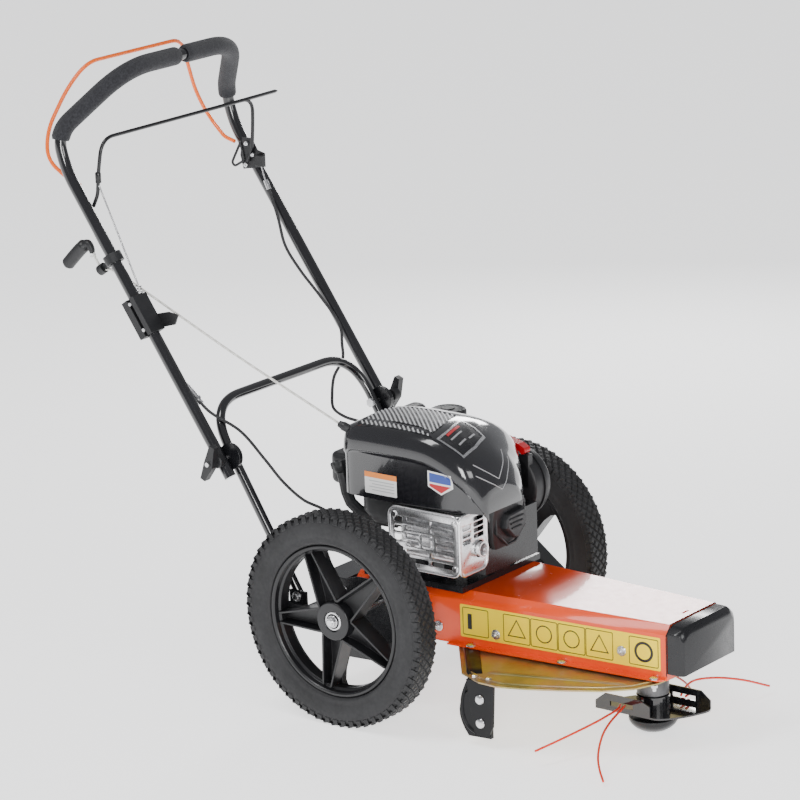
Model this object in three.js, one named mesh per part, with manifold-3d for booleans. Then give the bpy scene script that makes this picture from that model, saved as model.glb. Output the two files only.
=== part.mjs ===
// Walk-behind wheeled string trimmer, built as an assembly of separate solids.
// Millimetres, +Z up. The cutting head faces -Y, the operator stands at +Y,
// and the operator's right-hand side is -X. The ground is z = 0.
import * as THREE from 'three';
import { mergeVertices } from 'three/addons/utils/BufferGeometryUtils.js';
import Module from 'manifold-3d';

const wasm = await Module();
wasm.setup();
const { Manifold, Mesh: SolidMesh } = wasm;

// ---------------------------------------------------------------- driving dimensions
const GAP = 0.3;                    // clearance between pieces that touch
const FRAME_SHIFT_Y = -35.94;       // moves the axle-based layout onto the bounding-box centre

const WHEEL_R = 178;
const TYRE_W = 48;
const TYRE_MID_X = 240;
const RIM_R = 127;
const AXLE_R = 8;
const AXLE_Z = WHEEL_R;
const AXLE_HALF = 262;
const WHEEL_SEGMENTS = 40;
const SPOKES = 5;
const SPOKE_PHASE = 64.5;           // degrees above the rearward horizontal

const DECK_FRONT_Y = -519;
const DECK_REAR_Y = 70;
const DECK_KNEE_Y = -60;            // where the taper ends
const DECK_FRONT_HALF = 77;
const DECK_TAPER = 0.07;
const DECK_BOTTOM_Z = 119;
const DECK_BEND_Z = 194;
const DECK_TOP_Z = 208;
const DECK_CHAMFER_X = 14;
const SHEET = 3;
const FLANGE_W = 12;

const CAP_BACK_Y = DECK_FRONT_Y - GAP;
const CAP_CORNER_Y = -541;
const CAP_FRONT_Y = -549.5;
const CAP_BOTTOM_Z = 129;

const CRANK_Y = -60;
const HEAD_Y = -440;
const BELT_Z = 165;
const DRIVE_BELT_Z = 127;
const BELT_W = 9;
const BELT_H = 8;
const BELT_CLEAR = 0.8;
const PULLEY_RIM = 9;
const ENGINE_PULLEY_R = 32;
const SPINDLE_PULLEY_R = 28;
const DRIVE_PULLEY_R = 22;
const GEARBOX_Y = 62;
const GEARBOX_PULLEY_R = 40;

const IDLER_R = 18;
const IDLER_X = ENGINE_PULLEY_R + BELT_H + IDLER_R + 0.9;
const IDLER_Y = -200;
const IDLER_PIVOT_X = 66;
const IDLER_PIVOT_Y = -275;

const GUARD_Z = 112;
const GUARD_T = 3;

const HANDLE_X = 217;
const HANDLE_R = 10;
const LOWER_X = 190;
const LOWER_R = 8;
const PIVOT_Y = 249;
const PIVOT_Z = 401;
const FOAM_R = 15.5;

const BAIL_R = 3.2;
const BAIL_END_X = HANDLE_X - HANDLE_R - 7;
const BAIL_PIN_X = HANDLE_X - 4;
const DRIVE_BAIL_R = 3;
const ORANGE_PIVOT = { y: 546, z: 824 };
const DRIVE_PIVOT = { y: 519, z: 791 };

// ---------------------------------------------------------------- materials
const paint = (colour, roughness, metalness) =>
  new THREE.MeshStandardMaterial({ color: colour, roughness, metalness });
const ORANGE = paint('#e8451a', 0.3, 0.1);
const BLACK_PAINT = paint('#16171b', 0.3, 0.2);
const BLACK_PLASTIC = paint('#1c1d20', 0.55, 0.0);
const GLOSS_BLACK = paint('#0b0c0f', 0.15, 0.0);
const RUBBER = paint('#26262a', 0.85, 0.0);
const FOAM = paint('#2c2d33', 0.95, 0.0);
const STEEL = paint('#9a9ca0', 0.35, 0.9);
const CAST = paint('#75777b', 0.55, 0.8);
const SILVER = paint('#b9bbbd', 0.35, 0.85);
const ZINC = paint('#8f8350', 0.4, 0.8);
const RED = paint('#c4161c', 0.4, 0.0);
const LINE_RED = paint('#e8432a', 0.5, 0.0);
const ROPE = paint('#d8d7d0', 0.8, 0.0);

// ---------------------------------------------------------------- geometry helpers
const v3 = (x, y, z) => new THREE.Vector3(x, y, z);
const mix = (a, b, t) => a + (b - a) * t;
const rad = THREE.MathUtils.degToRad;

// Six times the enclosed volume; negative when the faces point inwards.
function signedVolume(geometry) {
  const position = geometry.getAttribute('position');
  const corner = (i) => new THREE.Vector3().fromBufferAttribute(position, geometry.index.getX(i));
  let total = 0;
  for (let i = 0; i < geometry.index.count; i += 3) {
    total += corner(i).dot(corner(i + 1).cross(corner(i + 2)));
  }
  return total;
}

// The same surface, welded, with every face pointing outwards.
function welded(geometry) {
  const bare = new THREE.BufferGeometry();
  bare.setAttribute('position', geometry.getAttribute('position').clone());
  if (geometry.index) {
    bare.setIndex(geometry.index.clone());
  }
  const merged = mergeVertices(bare, 1e-4);
  if (signedVolume(merged) < 0) {
    merged.index.array.reverse();
  }
  return merged;
}

function toSolid(geometry) {
  const merged = welded(geometry);
  return new Manifold(new SolidMesh({
    numProp: 3,
    vertProperties: new Float32Array(merged.getAttribute('position').array),
    triVerts: new Uint32Array(merged.index.array),
  }));
}

function toGeometry(solid) {
  const mesh = solid.getMesh();
  const geometry = new THREE.BufferGeometry();
  geometry.setAttribute('position', new THREE.BufferAttribute(mesh.vertProperties, 3));
  geometry.setIndex(new THREE.BufferAttribute(mesh.triVerts, 1));
  geometry.computeVertexNormals();
  return geometry;
}

const join = (geometries) =>
  toGeometry(geometries.map(toSolid).reduce((whole, next) => whole.add(next)));
const cut = (geometry, tools) =>
  toGeometry(tools.map(toSolid).reduce((whole, tool) => whole.subtract(tool), toSolid(geometry)));
const common = (first, second) => toGeometry(toSolid(first).intersect(toSolid(second)));

function box(x0, x1, y0, y1, z0, z1) {
  const geometry = new THREE.BoxGeometry(x1 - x0, y1 - y0, z1 - z0);
  return geometry.translate((x0 + x1) / 2, (y0 + y1) / 2, (z0 + z1) / 2);
}

// A solid of revolution: profile is [radius, height] pairs that start and end on the axis.
function turned(profile, segments, axis, origin) {
  const points = profile.map(([r, h]) => new THREE.Vector2(r, h));
  const geometry = new THREE.LatheGeometry(points, segments);
  const turn = { x: ['rotateZ', -Math.PI / 2], y: ['rotateY', 0], z: ['rotateX', Math.PI / 2] };
  const [method, angle] = turn[axis];
  geometry[method](angle);
  return geometry.translate(origin.x, origin.y, origin.z);
}

const disc = (r, h0, h1, segments, axis, origin) =>
  turned([[0, h0], [r, h0], [r, h1], [0, h1]], segments, axis, origin);

// A ring of revolution: the profile closes on itself away from the axis.
function ring(profile, segments, axis, origin) {
  return turned([...profile, profile[0]], segments, axis, origin);
}

// A flat outline in the XY plane, raised from z0 to z1.
function slab(outline, z0, z1) {
  const shape = outline instanceof THREE.Shape ? outline : shapeOf(outline);
  const geometry = new THREE.ExtrudeGeometry(shape, {
    depth: z1 - z0, bevelEnabled: false, curveSegments: 8,
  });
  return geometry.translate(0, 0, z0);
}

// A flat outline given as [y, z] pairs, raised from x0 to x1.
function sidePlate(outline, x0, x1) {
  const geometry = slab(outline, x0, x1);
  const swap = new THREE.Matrix4().set(0, 0, 1, 0, 1, 0, 0, 0, 0, 1, 0, 0, 0, 0, 0, 1);
  return geometry.applyMatrix4(swap);
}

const shapeOf = (pairs) => new THREE.Shape(pairs.map(([a, b]) => new THREE.Vector2(a, b)));

// Convex rings of equal point count, skinned into one closed solid.
function loft(rings) {
  const count = rings[0].length;
  const positions = [];
  const put = (...corners) => corners.forEach((c) => positions.push(c.x, c.y, c.z));
  for (let i = 0; i < rings.length - 1; i += 1) {
    for (let j = 0; j < count; j += 1) {
      const k = (j + 1) % count;
      put(rings[i][j], rings[i][k], rings[i + 1][k]);
      put(rings[i][j], rings[i + 1][k], rings[i + 1][j]);
    }
  }
  const last = rings[rings.length - 1];
  for (let j = 1; j < count - 1; j += 1) {
    put(rings[0][0], rings[0][j + 1], rings[0][j]);
    put(last[0], last[j], last[j + 1]);
  }
  const geometry = new THREE.BufferGeometry();
  geometry.setAttribute('position', new THREE.BufferAttribute(new Float32Array(positions), 3));
  return geometry;
}

// A polyline whose corners are rounded by the given radii.
function roundedPath(points, radii) {
  const path = new THREE.CurvePath();
  let from = points[0];
  for (let i = 1; i < points.length - 1; i += 1) {
    const back = points[i - 1].clone().sub(points[i]);
    const ahead = points[i + 1].clone().sub(points[i]);
    const reach = Math.min(radii[i - 1], back.length() / 2, ahead.length() / 2);
    const start = points[i].clone().addScaledVector(back.normalize(), reach);
    const stop = points[i].clone().addScaledVector(ahead.normalize(), reach);
    path.add(new THREE.LineCurve3(from, start));
    path.add(new THREE.QuadraticBezierCurve3(start, points[i], stop));
    from = stop;
  }
  path.add(new THREE.LineCurve3(from, points[points.length - 1]));
  return path;
}

function rod(path, radius, steps, sides) {
  const corners = Array.from({ length: sides }, (_, i) => {
    const angle = (2 * Math.PI * i) / sides;
    return [radius * Math.cos(angle), radius * Math.sin(angle)];
  });
  return new THREE.ExtrudeGeometry(shapeOf(corners), {
    steps, bevelEnabled: false, extrudePath: path,
  });
}

const smoothPath = (points) => new THREE.CatmullRomCurve3(points, false, 'centripetal');
const mirrored = (points) =>
  [...points, ...points.slice().reverse().map((p) => v3(-p.x, p.y, p.z))];
const sideSigns = { left: 1, right: -1 };

// ---------------------------------------------------------------- assembly bookkeeping
const part = new THREE.Group();
part.name = 'brush_mower';

function add(name, geometry, material) {
  const closed = welded(geometry.translate(0, FRAME_SHIFT_Y, 0));
  closed.computeVertexNormals();
  const mesh = new THREE.Mesh(closed, material);
  mesh.name = name;
  part.add(mesh);
}

// ---------------------------------------------------------------- deck and frame
const deckHalf = (y) => DECK_FRONT_HALF + DECK_TAPER * (Math.min(y, DECK_KNEE_Y) - DECK_FRONT_Y);

function deckRing(y, inset) {
  const half = deckHalf(y) - inset;
  const shoulder = half - DECK_CHAMFER_X + inset * 0.4;
  return [
    v3(half, y, DECK_BOTTOM_Z - (inset ? 1 : 0)),
    v3(half, y, DECK_BEND_Z - inset * 0.4),
    v3(shoulder, y, DECK_TOP_Z - inset),
    v3(-shoulder, y, DECK_TOP_Z - inset),
    v3(-half, y, DECK_BEND_Z - inset * 0.4),
    v3(-half, y, DECK_BOTTOM_Z - (inset ? 1 : 0)),
  ];
}

function deckFlange(side) {
  const inner = (y) => side * (deckHalf(y) - 1);
  const outer = (y) => side * (deckHalf(y) + FLANGE_W);
  const front = DECK_FRONT_Y + 4;
  const rear = DECK_KNEE_Y - 60;
  return slab([
    [inner(front), front], [outer(front) - side * 6, front], [outer(front), front + 8],
    [outer(rear), rear], [inner(rear), rear],
  ], DECK_BOTTOM_Z, DECK_BOTTOM_Z + SHEET);
}

function deckHousing() {
  const ys = [DECK_FRONT_Y, DECK_KNEE_Y, DECK_REAR_Y];
  const outer = loft(ys.map((y) => deckRing(y, 0)));
  const inner = loft([DECK_FRONT_Y + SHEET, DECK_KNEE_Y, DECK_REAR_Y + 1]
    .map((y) => deckRing(y, SHEET)));
  const crankHole = disc(20, DECK_TOP_Z - 8, DECK_TOP_Z + 4, 24, 'z', v3(0, CRANK_Y, 0));
  const slot = box(-7, 11, -505, -501, DECK_TOP_Z - 8, DECK_TOP_Z + 4);
  const axleHole = disc(AXLE_R + 6, -130, 130, 24, 'x', v3(0, 0, AXLE_Z));
  const shell = cut(outer, [inner, crankHole, slot, axleHole]);
  return join([shell, deckFlange(1), deckFlange(-1), idlerPost()]);
}

function capRing(y, sideInset, topInset, shrink) {
  const half = DECK_FRONT_HALF - 1 - sideInset - shrink;
  const top = DECK_TOP_Z - topInset - shrink;
  const bend = top - DECK_CHAMFER_X + 1;
  const bottom = CAP_BOTTOM_Z + (shrink ? -4 : 0);
  return [
    v3(half, y, bottom), v3(half, y, bend), v3(half - DECK_CHAMFER_X + 1, y, top),
    v3(-half + DECK_CHAMFER_X - 1, y, top), v3(-half, y, bend), v3(-half, y, bottom),
  ];
}

function frontBeltCover() {
  const outer = loft([
    capRing(CAP_FRONT_Y, 15, 14, 0), capRing(CAP_CORNER_Y, 0, 1, 0), capRing(CAP_BACK_Y, 0, 0, 0),
  ]);
  const inner = loft([
    capRing(CAP_FRONT_Y + SHEET, 13, 14, SHEET), capRing(CAP_CORNER_Y, 0, 1, SHEET),
    capRing(CAP_BACK_Y + 1, 0, 0, SHEET),
  ]);
  return cut(outer, [inner]);
}

const REAR_SIDE_X = 113;
const REAR_Y = 138;
const EAR_X = 199;

function rearFrame() {
  const profile = [
    [-62, 66], [REAR_Y - 40, 60], [REAR_Y, 84], [REAR_Y, 196], [84, 196], [60, 203], [-62, 203],
  ];
  const sides = [1, -1].map((s) => sidePlate(
    profile, Math.min(s * REAR_SIDE_X, s * (REAR_SIDE_X + 4)),
    Math.max(s * REAR_SIDE_X, s * (REAR_SIDE_X + 4)),
  ));
  const backPlate = box(-REAR_SIDE_X, REAR_SIDE_X, REAR_Y - 4, REAR_Y, 84, 196);
  const floor = box(-REAR_SIDE_X, REAR_SIDE_X, 84, REAR_Y, 192, 196);
  const beam = box(-EAR_X - 4, EAR_X + 4, 96, 134, 150, 154);
  const ears = [1, -1].map((s) => box(
    Math.min(s * EAR_X, s * (EAR_X + 4)), Math.max(s * EAR_X, s * (EAR_X + 4)),
    98, 134, 150, 194,
  ));
  const axleHole = disc(AXLE_R + GAP, -EAR_X, EAR_X, 32, 'x', v3(0, 0, AXLE_Z));
  return cut(join([...sides, backPlate, floor, beam, ...ears]), [axleHole]);
}

function guardOutline() {
  const half = [
    [97, -128], [205, -214], [226, -262], [228, -300], [212, -345], [186, -400],
    [158, -450], [124, -487], [84, -505], [40, -510],
  ];
  return [...half, ...half.slice().reverse().map(([x, y]) => [-x, y])];
}

function stoneGuard() {
  const plate = slab(guardOutline(), GUARD_Z, GUARD_Z + GUARD_T);
  const bores = [
    disc(26 + GAP, GUARD_Z - 2, GUARD_Z + 6, 32, 'z', v3(0, HEAD_Y, 0)),
  ];
  const beads = [1, -1].map((s) => slab([
    [s * 182, -250], [s * 176, -250], [s * 110, -462], [s * 112, -468], [s * 117, -467],
  ], GUARD_Z - 2, GUARD_Z + 6));
  return cut(plate, [...bores, ...beads]);
}

const SKID_X = 214;

function skidBracket() {
  const strap = sidePlate([
    [-286, GUARD_Z - GAP], [-232, GUARD_Z - GAP], [-240, 60], [-246, 24], [-274, 22], [-282, 40],
  ], -SKID_X - 4, -SKID_X);
  const foot = box(-SKID_X - 4, -SKID_X + 26, -284, -236, GUARD_Z - GAP - 4, GUARD_Z - GAP);
  return join([strap, foot, skidCheek()]);
}

function skidCheek() {
  const outline = new THREE.Shape();
  outline.moveTo(-276, 18);
  outline.lineTo(-276, 84);
  outline.lineTo(-236, 94);
  outline.quadraticCurveTo(-196, 60, -232, 16);
  outline.closePath();
  return sidePlate(outline, -SKID_X - 1, -SKID_X + 6);
}

add('deck_housing', deckHousing(), ORANGE);
add('front_belt_cover', frontBeltCover(), BLACK_PAINT);
add('rear_frame', rearFrame(), BLACK_PAINT);
add('stone_guard', stoneGuard(), ZINC);
add('skid_bracket', skidBracket(), BLACK_PAINT);

// ---------------------------------------------------------------- wheels
function tyre(side) {
  const w = TYRE_W / 2;
  const inner = RIM_R + GAP;
  const profile = [
    [inner, -w + 5], [inner + 6, -w + 1], [150, -w], [171, -w + 3], [WHEEL_R, -w + 12],
    [WHEEL_R, w - 12], [171, w - 3], [150, w], [inner + 6, w - 1], [inner, w - 5],
  ];
  return ring(profile, WHEEL_SEGMENTS, 'x', v3(side * TYRE_MID_X, 0, AXLE_Z));
}

function spoke(angle) {
  const tip = RIM_R - 6;
  const blade = slab([[18, -22], [tip, -9], [tip, 9], [18, 22]], -16, 16);
  const channel = [[34, -16.5], [tip - 14, -6], [tip - 14, 6], [34, 16.5]];
  const shaped = cut(blade, [slab(channel, -4, 20), slab(channel, -20, -8)]);
  return shaped.rotateZ(rad(angle));
}

function rim(side) {
  const band = ring([
    [RIM_R - 13, -19], [RIM_R, -19], [RIM_R, 19], [RIM_R - 13, 19],
    [RIM_R - 13, 15], [RIM_R - 8, 8], [RIM_R - 8, -8], [RIM_R - 13, -15],
  ], WHEEL_SEGMENTS, 'z', v3(0, 0, 0));
  const hub = disc(31, -22, 20, 24, 'z', v3(0, 0, 0));
  const phase = side > 0 ? SPOKE_PHASE : 180 - SPOKE_PHASE;
  const spokes = Array.from({ length: SPOKES }, (_, i) => spoke(phase + (360 * i) / SPOKES));
  const bore = disc(AXLE_R + GAP, -40, 40, 24, 'z', v3(0, 0, 0));
  const body = cut(join([band, hub, ...spokes]), [bore]);
  const place = new THREE.Matrix4().set(
    0, 0, side, side * TYRE_MID_X, side, 0, 0, 0, 0, 1, 0, AXLE_Z, 0, 0, 0, 1,
  );
  return body.applyMatrix4(place);
}

function axleNut(side) {
  const x = side * (TYRE_MID_X + 20 + GAP);
  const washer = disc(15, 0, 3, 24, 'x', v3(0, 0, 0));
  const hex = disc(9.5, 2, 9, 6, 'x', v3(0, 0, 0));
  const bore = disc(AXLE_R - 2 + GAP, -1, 10, 24, 'x', v3(0, 0, 0));
  const nut = cut(join([washer, hex]), [bore]);
  return nut.rotateZ(side > 0 ? 0 : Math.PI).translate(x, 0, AXLE_Z);
}

function axle() {
  const neck = AXLE_HALF - 2;
  return turned([
    [0, -AXLE_HALF - 6], [AXLE_R - 2, -AXLE_HALF - 6], [AXLE_R - 2, -neck], [AXLE_R, -neck],
    [AXLE_R, neck], [AXLE_R - 2, neck], [AXLE_R - 2, AXLE_HALF + 6], [0, AXLE_HALF + 6],
  ], 24, 'x', v3(0, 0, AXLE_Z));
}

add('axle', axle(), STEEL);
for (const [label, side] of Object.entries(sideSigns)) {
  add(`tyre_${label}`, tyre(side), RUBBER);
  add(`wheel_rim_${label}`, rim(side), BLACK_PLASTIC);
  add(`axle_nut_${label}`, axleNut(side), STEEL);
}

// ---------------------------------------------------------------- belt drive
function beltLoop(y1, r1, y2, r2, z) {
  const inner = BELT_CLEAR;
  const outer = BELT_CLEAR + BELT_H;
  const rise = (extra) => {
    const shape = new THREE.Shape();
    const tilt = Math.asin((r1 - r2) / Math.abs(y2 - y1));
    shape.absarc(0, y1, r1 + extra, -tilt, Math.PI + tilt, false);
    shape.absarc(0, y2, r2 + extra, Math.PI + tilt, 2 * Math.PI - tilt, false);
    shape.closePath();
    return shape;
  };
  const raise = (shape, z0, z1) => new THREE.ExtrudeGeometry(shape, {
    depth: z1 - z0, bevelEnabled: false, curveSegments: 12,
  }).translate(0, 0, z0);
  return cut(
    raise(rise(outer), z - BELT_W / 2, z + BELT_W / 2),
    [raise(rise(inner), z - BELT_W, z + BELT_W)],
  );
}

// One V-groove pulley profile: groove floor radius r, centred on height z.
const grooveProfile = (r, z) => [
  [r + PULLEY_RIM, z - 8], [r + PULLEY_RIM, z - 6], [r, z - BELT_W / 2 - GAP],
  [r, z + BELT_W / 2 + GAP], [r + PULLEY_RIM, z + 6], [r + PULLEY_RIM, z + 8],
];

function pulley(r, y, z, bore) {
  const body = turned([[0, z - 8], ...grooveProfile(r, z), [0, z + 8]], 24, 'z', v3(0, y, 0));
  return cut(body, [disc(bore, z - 12, z + 12, 16, 'z', v3(0, y, 0))]);
}

function enginePulley() {
  const body = turned([
    [0, DRIVE_BELT_Z - 8], ...grooveProfile(DRIVE_PULLEY_R, DRIVE_BELT_Z), [16, DRIVE_BELT_Z + 8],
    [16, BELT_Z - 8], ...grooveProfile(ENGINE_PULLEY_R, BELT_Z), [0, BELT_Z + 8],
  ], 24, 'z', v3(0, CRANK_Y, 0));
  return cut(body, [disc(11 + GAP, 100, 200, 16, 'z', v3(0, CRANK_Y, 0))]);
}

function idlerArm() {
  const z0 = BELT_Z + 8;
  const bar = slab([
    [IDLER_PIVOT_X - 9, IDLER_PIVOT_Y - 10], [IDLER_PIVOT_X + 9, IDLER_PIVOT_Y - 10],
    [IDLER_X + 9, IDLER_Y + 10], [IDLER_X - 9, IDLER_Y + 10],
  ], z0, z0 + 5);
  const pin = disc(5, BELT_Z - 8, z0 + 1, 16, 'z', v3(IDLER_X, IDLER_Y, 0));
  const bore = disc(5 + GAP, z0 - 1, z0 + 6, 16, 'z', v3(IDLER_PIVOT_X, IDLER_PIVOT_Y, 0));
  return cut(join([bar, pin]), [bore]);
}

// The idler arm turns on this post, which is welded under the deck.
function idlerPost() {
  const z0 = BELT_Z + 8;
  const top = DECK_TOP_Z - 1;
  const at = v3(IDLER_PIVOT_X, IDLER_PIVOT_Y, 0);
  return join([disc(5, z0 - 6, top, 16, 'z', at), disc(11, z0 + 5 + GAP, top, 16, 'z', at)]);
}

function idlerPulley() {
  const at = v3(IDLER_X, IDLER_Y, 0);
  const body = disc(IDLER_R, BELT_Z - 7, BELT_Z + 7, 28, 'z', at);
  return cut(body, [disc(5 + GAP, BELT_Z - 12, BELT_Z + 12, 16, 'z', at)]);
}

function crankshaft() {
  return turned([
    [0, 112], [11, 112], [11, 190], [13, 190], [13, 250], [0, 250],
  ], 24, 'z', v3(0, CRANK_Y, 0));
}

function gearbox() {
  const block = box(-34, 34, -12, GEARBOX_Y + 20, 140, 190);
  const stub = disc(8, DRIVE_BELT_Z - 10, 142, 20, 'z', v3(0, GEARBOX_Y, 0));
  const tube = disc(15, -78, 78, 24, 'x', v3(0, 0, AXLE_Z - 3));
  const bore = disc(AXLE_R + GAP, -90, 90, 24, 'x', v3(0, 0, AXLE_Z));
  return cut(join([block, stub, tube]), [bore]);
}

function spindleHousing() {
  const at = v3(0, HEAD_Y, 0);
  const body = turned([
    [0, 62], [26, 62], [26, GUARD_Z + GUARD_T + GAP], [44, GUARD_Z + GUARD_T + GAP],
    [44, 121], [26, 121], [24, 150], [0, 150],
  ], 28, 'z', at);
  return cut(body, [disc(9 + GAP, 40, 170, 16, 'z', at)]);
}

function spindleShaft() {
  return turned([
    [0, 26], [9, 26], [9, 180], [0, 180],
  ], 20, 'z', v3(0, HEAD_Y, 0));
}

add('crankshaft', crankshaft(), STEEL);
add('engine_pulley', enginePulley(), CAST);
add('head_belt', beltLoop(CRANK_Y, ENGINE_PULLEY_R, HEAD_Y, SPINDLE_PULLEY_R, BELT_Z), RUBBER);
add('idler_arm', idlerArm(), STEEL);
add('idler_pulley', idlerPulley(), BLACK_PLASTIC);
add('gearbox', gearbox(), CAST);
add('gearbox_pulley', pulley(GEARBOX_PULLEY_R, GEARBOX_Y, DRIVE_BELT_Z, 8 + GAP), CAST);
add('drive_belt', beltLoop(GEARBOX_Y, GEARBOX_PULLEY_R, CRANK_Y, DRIVE_PULLEY_R, DRIVE_BELT_Z),
  RUBBER);
add('spindle_housing', spindleHousing(), CAST);
add('spindle_shaft', spindleShaft(), STEEL);
add('spindle_pulley', pulley(SPINDLE_PULLEY_R, HEAD_Y, BELT_Z, 9 + GAP), CAST);

// ---------------------------------------------------------------- cutting head
const HEAD_Z = 35;
const HEAD_T = 3;
const WALL_X = 46;
const WALL_H = 28;


function trimmerHead() {
  const lobe = new THREE.Shape();
  lobe.moveTo(WALL_X, 26);
  lobe.lineTo(WALL_X, -78);
  lobe.quadraticCurveTo(WALL_X - 8, -90, 16, -80);
  lobe.quadraticCurveTo(-8, -72, -30, -54);
  lobe.quadraticCurveTo(-48, -40, -WALL_X, -26);
  lobe.lineTo(-WALL_X, 78);
  lobe.quadraticCurveTo(-WALL_X + 8, 90, -16, 80);
  lobe.quadraticCurveTo(8, 72, 30, 54);
  lobe.quadraticCurveTo(48, 40, WALL_X, 26);
  const plate = slab(lobe, HEAD_Z, HEAD_Z + HEAD_T);
  const hub = disc(27, HEAD_Z, 61, 32, 'z', v3(0, 0, 0));
  const wall = (s) => sidePlate([
    [s * 24, HEAD_Z], [s * 24, HEAD_Z + 20], [s * 6, HEAD_Z + WALL_H], [-s * 62, HEAD_Z + WALL_H],
    [-s * 80, HEAD_Z + 14], [-s * 80, HEAD_Z],
  ], Math.min(s * WALL_X, s * (WALL_X - 3)), Math.max(s * WALL_X, s * (WALL_X - 3)));
  const slotHole = (s) => box(
    Math.min(s * 30, s * 60), Math.max(s * 30, s * 60),
    Math.min(-s * 52, -s * 8), Math.max(-s * 52, -s * 8), HEAD_Z + 9, HEAD_Z + 17,
  );
  const body = join([plate, hub, wall(1), wall(-1)]);
  const bored = cut(body, [disc(9 + GAP, 20, 70, 24, 'z', v3(0, 0, 0)), slotHole(1), slotHole(-1)]);
  return bored.translate(0, HEAD_Y, 0);
}

function glideCup() {
  return turned([
    [0, 0], [14, 1], [28, 6], [36, 12], [40, 20], [40, 24], [34, HEAD_Z - 9 - GAP],
    [0, HEAD_Z - 9 - GAP],
  ], 28, 'z', v3(0, HEAD_Y, 0));
}

const LINE_R = 1.95;
const LINE_Z = HEAD_Z + 13;

// Each line is looped through a slot and droops to its tip. Points are [x, y, z] from the spindle.
const TRIMMER_LINES = [
  [[-44, 33, 0], [-62, 26, 0], [-100, 24, -1], [-121, 26, -3], [-185, 42, -12], [-239, 62, -22]],
  [[-44, 25, 0], [-60, 20, 0], [-110, 8, -4], [-152, -6, -10], [-204, -33, -22], [-235, -57, -30],
    [-256, -78, -38]],
  [[44, -24, 0], [60, -18, 3], [96, -14, 7], [129, -30, 5], [178, -52, -9], [238, -68, -35]],
  [[44, -33, 0], [62, -30, 0], [100, 0, -4], [150, 60, -14], [190, 130, -26]],
];

function trimmerLine(points) {
  const path = smoothPath(points.map(([x, y, z]) => v3(x, HEAD_Y + y, LINE_Z + z)));
  return rod(path, LINE_R, 16, 6);
}

add('trimmer_head', trimmerHead(), GLOSS_BLACK);
add('glide_cup', glideCup(), BLACK_PLASTIC);
TRIMMER_LINES.forEach((points, i) => add(`trimmer_line_${i + 1}`, trimmerLine(points), LINE_RED));

// ---------------------------------------------------------------- engine
function crankcase() {
  const base = box(-110, 105, -150, 50, DECK_TOP_Z + GAP, 218);
  const sump = disc(92, 217, 330, 32, 'z', v3(0, CRANK_Y, 0));
  const barrel = box(-62, 52, -184, -60, 240, 326);
  const apron = box(-92, 0, -184, -150, 240, 356);
  const neck = disc(60, 329, 372, 28, 'z', v3(0, CRANK_Y, 0));
  const bore = disc(13 + GAP, 200, 250 + GAP, 24, 'z', v3(0, CRANK_Y, 0));
  return cut(join([base, sump, barrel, apron, neck]), [bore]);
}

// One cross-section of the blower shroud at a given y.
function shroudRing(y, left, right, bottom, shoulder, crown, inset) {
  const l = left + inset;
  const r = right - inset;
  const top = (z) => z - inset;
  const fall = Math.min(1, (crown - bottom - 8) / 88);
  return [
    v3(l, y, bottom - (inset ? 2 : 0)), v3(l, y, top(shoulder - 34)), v3(l + 4, y, top(shoulder - 14)),
    v3(l + 14, y, top(shoulder)), v3(mix(l, r, 0.28), y, top(crown)), v3(mix(l, r, 0.52), y, top(crown - 3)),
    v3(mix(l, r, 0.74), y, top(crown - 22 * fall)), v3(mix(l, r, 0.88), y, top(crown - 44 * fall)),
    v3(mix(l, r, 0.96), y, top(crown - 64 * fall)), v3(r, y, top(crown - 88 * fall)),
    v3(r, y, bottom - (inset ? 2 : 0)),
  ].reverse();
}

const SHROUD_SECTIONS = [
  [52, -146, 86, 360, 462, 466], [44, -158, 92, 360, 470, 474], [20, -164, 94, 360, 477, 481],
  [-60, -166, 94, 360, 479, 483], [-118, -164, 88, 360, 476, 480], [-150, -162, 58, 359, 466, 469],
  [-178, -158, 22, 359, 450, 453], [-198, -150, -4, 359, 430, 433], [-212, -136, -28, 356, 402, 406],
];

function engineShroud() {
  const outer = loft(SHROUD_SECTIONS.map((s) => shroudRing(...s, 0)));
  const inner = loft(SHROUD_SECTIONS.slice(1, -1).map((s) => shroudRing(...s, 4)));
  return cut(outer, [inner]);
}

const TANK = { x0: -100, x1: 158, y0: 56, y1: 126, z0: 350, z1: 402 };
const FUEL_CAP_AT = v3(127, 47, 0);
const FUEL_CAP_Z = 420;

function fuelTank() {
  const lower = box(TANK.x0, TANK.x1, TANK.y0, TANK.y1, TANK.z0, TANK.z1);
  const upper = box(TANK.x0, 90, TANK.y0, TANK.y1 - 36, TANK.z1 - 1, 450);
  const side = box(102, TANK.x1, 10, TANK.y0 + 1, TANK.z0, 408);
  const filler = disc(20, TANK.z1 - 1, FUEL_CAP_Z, 20, 'z', FUEL_CAP_AT);
  return join([lower, upper, side, filler]);
}

function fuelCap() {
  return turned([
    [0, FUEL_CAP_Z + GAP], [31, FUEL_CAP_Z + GAP], [31, FUEL_CAP_Z + 10],
    [27, FUEL_CAP_Z + 14], [0, FUEL_CAP_Z + 14],
  ], 24, 'z', FUEL_CAP_AT);
}

const CYLINDER_COVER = { x0: -74, x1: -16, y0: -214, y1: -184.5, z0: 294, z1: 342 };

function cylinderCover() {
  const c = CYLINDER_COVER;
  const block = box(c.x0, c.x1, c.y0, c.y1, c.z0, c.z1);
  const louvres = Array.from({ length: 3 }, (_, i) => box(
    c.x0 + 10, c.x1 - 10, c.y0 - 2, c.y0 + 8, c.z0 + 10 + i * 14, c.z0 + 17 + i * 14,
  ));
  return cut(block, louvres);
}

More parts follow.
